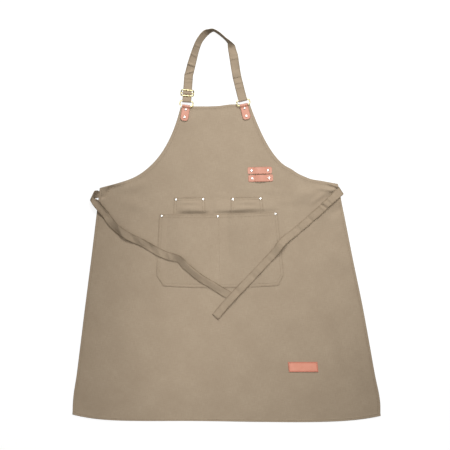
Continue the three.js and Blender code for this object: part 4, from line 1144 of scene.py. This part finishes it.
frame_quads = outward(frame_points, frame_quads)
make_piece("strap_slider_wire", np.vstack([frame_points, bar_points]),
           np.vstack([frame_quads, bar_quads + len(frame_points)]), BRASS, "brass_wire",
           stands_for=("strap_slider",))

# Neck strap: round the slider's middle bar, back to the left ring, over the slider, free run, right ring
left_profile = np.vstack([
    arc(SLIDER_ALONG, SLIDER_HEIGHT, BAR_WRAP, 180, -90, 20),
    arc(0, RING_HEIGHT, STRAP_WRAP, -90, -270, 18),
    smooth_line(np.array([
        (0, RING_HEIGHT + STRAP_WRAP), (6, RING_HEIGHT + 1), (SLIDER_ALONG - HALF_FRAME, UNDER_FRAME),
        (SLIDER_ALONG, OVER_BAR), (SLIDER_ALONG + HALF_FRAME, UNDER_FRAME), (46, 2.2), (70, ON_FLOOR),
    ]), 10, 0.0)[1:],
])
right_profile = np.vstack([
    np.column_stack([np.linspace(38, 18, 9), np.full(9, ON_FLOOR)]),
    arc(0, RING_HEIGHT, STRAP_WRAP, -90, -270, 18),
    smooth_line(np.array([
        (0, RING_HEIGHT + STRAP_WRAP), (7, RING_HEIGHT), (19, ON_FLOOR + STRAP + GAP),
        (41, ON_FLOOR + STRAP + GAP), (52, 1.5), (62, ON_FLOOR),
    ]), 10, 0.0)[1:],
])
neck_run = smooth_line(NECK_COURSE, NECK_STEPS)
free = standing(neck_run, STRAP_CLEAR)
start = on_heading(left_profile, left_bar, NECK_ENDS["left"][4], NECK_WIDTH / 2)
finish = on_heading(right_profile, ring_bars("right")[1], NECK_ENDS["right"][4], -NECK_WIDTH / 2)
neck = [np.vstack([a, b, c[::-1]]) for a, b, c in zip(start, free, finish)]


def neck_raised(x, y, index):
    """Cross creases of the neck strap, only where it lies by itself."""
    return ridges(x, y, NECK_CREASES) * ease((y - NECK_FREE) / NECK_FREE_OVER)


first_sewn = len(left_profile) - NECK_LEAD
last_sewn = len(left_profile) + len(neck_run) + NECK_TAIL
course_row = np.linspace(0, len(NECK_COURSE) - 1, len(neck_run))
# Painted shade on the standing strap at its top, where it faces away from the light
apex_shade = APEX_SHADE * bell(course_row, APEX_ROW, APEX_HALF)
neck_shade = np.concatenate([np.zeros(len(left_profile)), apex_shade, np.zeros(len(right_profile))])
sewn_strap("neck_strap", neck, NECK_WIDTH, neck_raised, first_sewn, last_sewn, 1.0,
           painted_shade=neck_shade)

BODY_LOOP = ring_of(BODY_EDGES, 0.0)[::3]
LARGE_LOOP = ring_of(LARGE_EDGES, 0.0)[::3]


def support(x, y):
    """What a tie lies on: the large pocket, else the body, else the floor."""
    on_body = np.where(inside(BODY_LOOP, x, y), body_top(x, y), 0.0)
    return np.where(inside(LARGE_LOOP, x, y), large_top(x, y), on_body)


def evened(height):
    """Heights along a strap: the highest of seven neighbours, then the mean of seven."""
    around = [(3, 3)] + [(0, 0)] * (height.ndim - 1)
    count = len(height)
    padded = np.pad(height, around, mode="edge")
    highest = np.max([padded[k:k + count] for k in range(7)], axis=0)
    padded = np.pad(highest, around, mode="edge")
    return np.mean([padded[k:k + count] for k in range(7)], axis=0)


def buckle(x, y):
    """The left tie's buckle: the lower of a plane that tips up its left edge and one that falls
    along the tie, rounded where they meet."""
    ahead = (x - BUCKLE_AT[0]) * BUCKLE_RUN[0] + (y - BUCKLE_AT[1]) * BUCKLE_RUN[1]
    aside = -(x - BUCKLE_AT[0]) * BUCKLE_RUN[1] + (y - BUCKLE_AT[1]) * BUCKLE_RUN[0]
    climb = np.clip((ahead + BUCKLE_BEFORE) / BUCKLE_BEFORE, 0, 2)
    tipped = BUCKLE_CREST * (0.5 + aside / TIE_WIDTH) * BUCKLE_TIP * climb
    falling = BUCKLE_CREST * np.clip((BUCKLE_AFTER - ahead) / (2 * BUCKLE_AFTER), 0, 2)
    share = np.clip(0.5 + 0.5 * (falling - tipped) / BUCKLE_SOFT, 0, 1)
    return np.maximum(mix(falling, tipped, share) - BUCKLE_SOFT * share * (1 - share), 0.0)


# Waist ties: root under the body, half turn about a slanted line, then the course over the front
for name, (root, leaves, leaving, fold, fold_heading, fold_top, bare, tilt, course) in TIES.items():
    root = np.array([*root, ON_FLOOR])
    leaves = np.array([*leaves, ON_FLOOR])
    fold = np.array([*fold, 0.0])
    run = unit((fold - root) * np.array([1, 1, 0]))
    right = np.cross(run, UP)
    fold_line = np.array([np.cos(np.radians(fold_heading)), np.sin(np.radians(fold_heading)), 0.0])
    fold_line *= np.sign(fold_line @ right)
    out = np.cross(UP, fold_line)
    out *= np.sign(out @ run)
    radius = (fold_top - ON_FLOOR) / 2
    turn = np.linspace(0, np.pi, 19)[:, None]
    full_half = fold_line * TIE_WIDTH / 2 / abs(fold_line @ right)
    drawn_in = full_half * bare * ease(2 * turn / np.pi - 1)
    # A slanted wrap slides along the fold line as it goes round
    slide = fold_line * (run @ fold_line) / (run @ out) * radius * (turn - np.pi / 2)
    tipped = UP * tilt / 2 * np.cos(turn / 2) ** 2
    turn_height = UP * (ON_FLOOR + radius * (1 - np.cos(turn)))
    turn_centre = fold + out * radius * (np.sin(turn) - 1) + turn_height + slide + tipped - drawn_in
    turn_normal = -out * np.sin(turn) + UP * np.cos(turn)
    turn_half = full_half + tipped - drawn_in
    line = smooth_line(course[:, :3], 10)
    row = np.linspace(0, len(course) - 1, len(line))
    raise_by, curl = (np.interp(row, np.arange(len(course)), course[:, k]) for k in (3, 4))
    far = np.concatenate([[0], np.cumsum(np.linalg.norm(np.diff(line[:, :2], axis=0), axis=1))])
    settled = ease(far / SETTLE)
    base = mix(fold_top - STRAP / 2, GAP / 2, settled) + raise_by
    run_centre, run_half, run_normal = lying(line, TIE_WIDTH, base)
    run_half, run_normal = -run_half, -run_normal
    t = np.linspace(0, 1, 7)[1:-1, None]
    leave_half = right * TIE_WIDTH / 2 * leaving
    step = np.linspace(0, 1, 6)[:-1, None]
    root_part = [np.vstack([mix(a, b, step), mix(b, c, step)]) for a, b, c in (
        (root, leaves, turn_centre[0]), (leave_half, leave_half, turn_half[0]), (UP, UP, UP))]
    join_part = [mix(a[-1], b[0], ease(t)) for a, b in (
        (turn_centre, run_centre), (turn_half, run_half), (turn_normal, run_normal))]
    tie = [np.vstack(parts) for parts in zip(
        root_part, (turn_centre, turn_half, turn_normal), join_part, (run_centre, run_half, run_normal))]
    before = len(tie[0]) - len(line)
    settled = np.concatenate([np.zeros(before), settled])
    curl = np.concatenate([np.zeros(before - len(t)), curl[0] * ease(t[:, 0]), curl])
    # Painted shade inside each fold's turn
    fold_shade = bell(turn[:, 0], np.pi / 2, FOLD_SHADE_SPAN)
    painted_shade = np.concatenate([np.zeros(len(root_part[0])), fold_shade, np.zeros(len(t) + len(line))])

    def tie_raised(x, y, index, name=name, settled=settled):
        """What lies under a tie's free run, its creases, and the left one's buckle."""
        height = evened(support(x, y)) + ridges(x, y, TIE_CREASES[name])
        if name == "left":
            height = height + buckle(x, y)
        return height * settled[index]

    sewn_strap(f"waist_tie_{name}", tie, TIE_WIDTH, tie_raised, before, len(tie[0]) - 1, -1.0,
               curl, painted_shade)


def rivet(node, x, y, low, high):
    """A rivet: domed cap with a rolled rim and a small dimple, post and back cap, turned."""
    top = high + CAP_RISE
    profile = [
        (0, top - 0.2), (0.45, top - 0.18), (0.8, top - 0.07), (1.15, top), (1.8, top - 0.03),
        (2.4, top - 0.13), (2.85, top - 0.34), (3.2, top - 0.72), (CAP, top - 1.2), (CAP * 0.98, high),
        (CAP * 0.9, high - 0.08), (POST, high - 0.08), (POST, low), (CAP - 0.4, low), (CAP - 0.3, low - 0.2),
        (CAP - 0.35, low - BACK + 0.15), (CAP - 0.6, low - BACK), (0, low - BACK),
    ]
    make_piece(f"{node}_metal", *lathe(profile, x, y), NICKEL, "nickel_rivet", stands_for=(node,))


def body_height(x, y):
    """Height of the body's top at one place."""
    return float(body_top(np.array([x], dtype=float), np.array([y], dtype=float))[0])


def rounded_half(half, corner, from_end):
    """Half width of a strip near an end with corners rounded as quarter circles."""
    far = np.clip(corner - from_end, 0, corner)
    return half - corner + np.sqrt(np.maximum(corner**2 - far**2, 0.0))


def leather_strip(node, sections, width):
    """A flat leather section carried along a side view, with rounded, burnished edges and ends."""
    flat = flat_section(width / 2, LEATHER, edge_round=0.6)
    points, quads, plan, edge = strip(sections, flat, end_round=0.7)
    make_piece(f"{node}_leather", points, quads, TAN_LEATHER, "leather", plan, edge, (node,))


END_STEPS = 1 - np.cos(np.linspace(0.12, np.pi / 2, 9))     # shares of a rounded end, bunched at its tip

# Ring tabs: front leaf, turn round the ring's bar, back leaf, two rivets
for name, (_, _, _, tab, _) in NECK_ENDS.items():
    tab_bar = ring_bars(name)[0]
    leaf = np.concatenate([TAB_ROUND * END_STEPS, np.linspace(TAB_ROUND + 2, TAB_LENGTH - 5.2, 12)])
    front = np.column_stack([leaf - TAB_LENGTH, np.full(len(leaf), FRONT_LEAF)])
    back = np.column_stack([leaf[::-1] - TAB_LENGTH, np.full(len(leaf), BACK_LEAF)])
    tab_line = np.vstack([front, arc(0, RING_HEIGHT, TAB_WRAP, 140, -90, 20), back])
    tab_half = rounded_half(TAB_WIDTH / 2, TAB_ROUND, tab_line[:, 0] + TAB_LENGTH)
    leather_strip(f"ring_tab_{name}", on_heading(tab_line, tab_bar, tab, tab_half), TAB_WIDTH)
    for k, down in enumerate(TAB_RIVETS, 1):
        spot = tab_bar - heading(tab) * down
        under = body_height(*spot[:2]) - BODY_HEM - GAP
        rivet(f"rivet_tab_{name}_{k}", *spot[:2], under, FRONT_LEAF + LEATHER / 2 + CAP_CLEAR)

# Tool loops: flat riveted ends and a raised middle
for name, (x, y, long, turned, spacing, rise) in LOOPS.items():
    flat = (long - spacing) / 2 + CAP + 1
    seat = body_height(x, y) + GAP + LEATHER / 2
    rounding = LOOP_ROUND * END_STEPS
    between = np.linspace(LOOP_ROUND + 1, long - LOOP_ROUND - 1, 60)
    stations = np.concatenate([rounding, between, long - rounding[::-1]])
    t = np.clip((stations - flat) / (long - 2 * flat), 0, 1)
    loop_line = np.column_stack([stations - long / 2, seat + rise * np.sin(np.pi * t) ** 0.75])
    loop_half = rounded_half(LOOP_WIDTH / 2, LOOP_ROUND, np.minimum(stations, long - stations))
    middle = np.array([x, y, 0.0])
    leather_strip(f"tool_loop_{name}", on_heading(loop_line, middle, 90 - turned, loop_half), LOOP_WIDTH)
    for k, side in enumerate((-0.5, 0.5), 1):
        spot = middle + heading(90 - turned) * spacing * side
        under = body_height(*spot[:2]) - CLOTH - GAP
        rivet(f"rivet_loop_{name}_{k}", *spot[:2], under, seat + LEATHER / 2 + CAP_CLEAR)

# Pocket rivets
for name, (x, y) in POCKET_RIVETS.items():
    base = body_height(x, y)
    rivet(f"rivet_pocket_{name}", x, y, base - CLOTH - GAP, base + SEWN_GAP + POCKET_HEM + CAP_CLEAR)


# Label: bare leather with an embossed border line and a stitched edge
def label_pressed(far):
    """Depth of the line pressed along the label's border: a bell curve across it."""
    return LABEL_PRESSED * bell(far, LABEL_BORDER, LABEL_PRESSED_HALF)


def label_surface(x, y, far):
    """Label top: body, gap and leather, less the pressed line."""
    return body_top(x, y) + GAP + LEATHER - label_pressed(far)


def label_thick(far):
    """Even leather, less the pressed line."""
    return LEATHER - label_pressed(far)


LABEL_INSETS = [0.8, 1.6, 2.2, 2.7, 3.1, 3.4, 3.7, 4.1, 4.6, 5.2]
LABEL_COUNTS = (54, 20, 54, 20)
label_corner = [
    (LABEL_X + (across * LABEL_LONG - up * LABEL_SLANT) / 2, LABEL_Y + up * LABEL_TALL / 2)
    for across, up in ((-1, 1), (1, 1), (1, -1), (-1, -1))
]
label_edges = [
    along_edge(label_corner[k], label_corner[(k + 1) % 4], count) for k, count in enumerate(LABEL_COUNTS)
]
points, quads, plan, edge = panel(
    label_edges, FOUR_SIDED, LABEL_INSETS, LEATHER_RIM, label_surface, label_thick)
make_piece("hem_label_leather", points, quads, LABEL_LEATHER, "leather", plan, edge, ("hem_label",))
label_row = ring_row(label_edges, LABEL_STITCH, label_surface)
make_piece("hem_label_stitching", *stitches([label_row]), LABEL_THREAD, "leather")


# Stage: pale floor lit through, soft key from the neck end, two pools of light from above, faint warm sky
def soft_light(name, at, size, power):
    """A rectangular soft light that looks at the origin."""
    data = bpy.data.lights.new(name, "AREA")
    data.shape = "RECTANGLE"
    data.size, data.size_y = size
    data.energy = power
    light = bpy.data.objects.new(name, data)
    light.location = at
    light.rotation_mode = "QUATERNION"
    light.rotation_quaternion = (-Vector(at)).to_track_quat("-Z", "Y")
    bpy.context.scene.collection.objects.link(light)


FLOOR_HALF = 60.0
POOL_HEIGHT = 3.0


def pool_light(name, at, half, turned, radius, strength):
    """A lamp straight above: its pool of light fades out at an ellipse of the given half widths,
    turned anticlockwise by the angle. Its power is strength times (2 pi height)^2, so that the light
    below doesn't depend on the height."""
    data = bpy.data.lights.new(name, "SPOT")
    data.energy = strength * (2 * np.pi * POOL_HEIGHT) ** 2
    data.spot_size = 2 * float(np.arctan(half[0] / POOL_HEIGHT))
    data.spot_blend = 1.0
    data.shadow_soft_size = radius
    light = bpy.data.objects.new(name, data)
    light.location = (*at, POOL_HEIGHT)
    light.scale = (1.0, half[1] / half[0], 1.0)
    light.rotation_euler = (0.0, 0.0, float(np.radians(turned)))
    bpy.context.scene.collection.objects.link(light)


floor_mesh = bpy.data.meshes.new("floor")
floor_corner = [(x * FLOOR_HALF, y * FLOOR_HALF, 0) for x, y in ((-1, -1), (1, -1), (1, 1), (-1, 1))]
floor_mesh.from_pydata(floor_corner, [], [(0, 1, 2, 3)])
floor = bpy.data.objects.new("floor", floor_mesh)
bpy.context.scene.collection.objects.link(floor)
floor_material, _, _ = new_material("floor_paper_white_matt", {
    "Base Color": linear("#898989"), "Roughness": 0.9, "Specular IOR Level": 0.1,
    "Emission Color": (1.0, 1.0, 1.0, 1.0), "Emission Strength": 0.85,
})
# The sheet is lit through from below, and that glow is kept off the cloth
floor.visible_diffuse = False
floor_mesh.materials.append(floor_material)

soft_light("key", at=(0.5, 2.4, 2.5), size=(1.6, 1.0), power=83)
pool_light("pool_wide", at=(0.11, 0.32), half=(0.48, 1.34), turned=-5.0, radius=0.06, strength=0.35)
pool_light("pool_skirt", at=(-0.2, -0.4), half=(0.17, 0.4), turned=-12.0, radius=0.2, strength=0.23)
# The sky's strength: the horizon's glow, and the ceiling's times the cube of how far up a ray looks
HORIZON_GLOW, CEILING_GLOW = 0.08, 0.6
world = bpy.data.worlds.new("studio")
world.use_nodes = True
sky = world.node_tree
ray = add_node(sky, "ShaderNodeTexCoord").outputs["Generated"]
toward_sky = add_node(sky, "ShaderNodeSeparateXYZ", links={0: ray})
overhead = add_node(sky, "ShaderNodeMath", {"operation": "MAXIMUM"}, {1: 0.0}, {0: toward_sky.outputs["Z"]})
ceiling = add_node(sky, "ShaderNodeMath", {"operation": "POWER"}, {1: 3.0}, {0: overhead.outputs[0]})
level = add_node(
    sky, "ShaderNodeMath", {"operation": "MULTIPLY_ADD"}, {1: CEILING_GLOW, 2: HORIZON_GLOW},
    {0: ceiling.outputs[0]})
sky.links.new(level.outputs[0], sky.nodes["Background"].inputs["Strength"])
sky.nodes["Background"].inputs["Color"].default_value = linear("#fffaf3")
bpy.context.scene.world = world
bpy.context.scene.view_settings.view_transform = "Standard"

# Camera straight above: 1.17 m of floor fills the square frame
FRAME_M = 1.17
LENS = 110.0
SENSOR = 36.0
CENTRE = (-0.0039, 0.0013)
camera_data = bpy.data.cameras.new("photo_camera")
camera_data.lens = LENS
camera_data.sensor_width = SENSOR
camera = bpy.data.objects.new("photo_camera", camera_data)
camera.location = (*CENTRE, FRAME_M * LENS / SENSOR + BODY_HEM * MM)
bpy.context.scene.collection.objects.link(camera)
bpy.context.scene.camera = camera
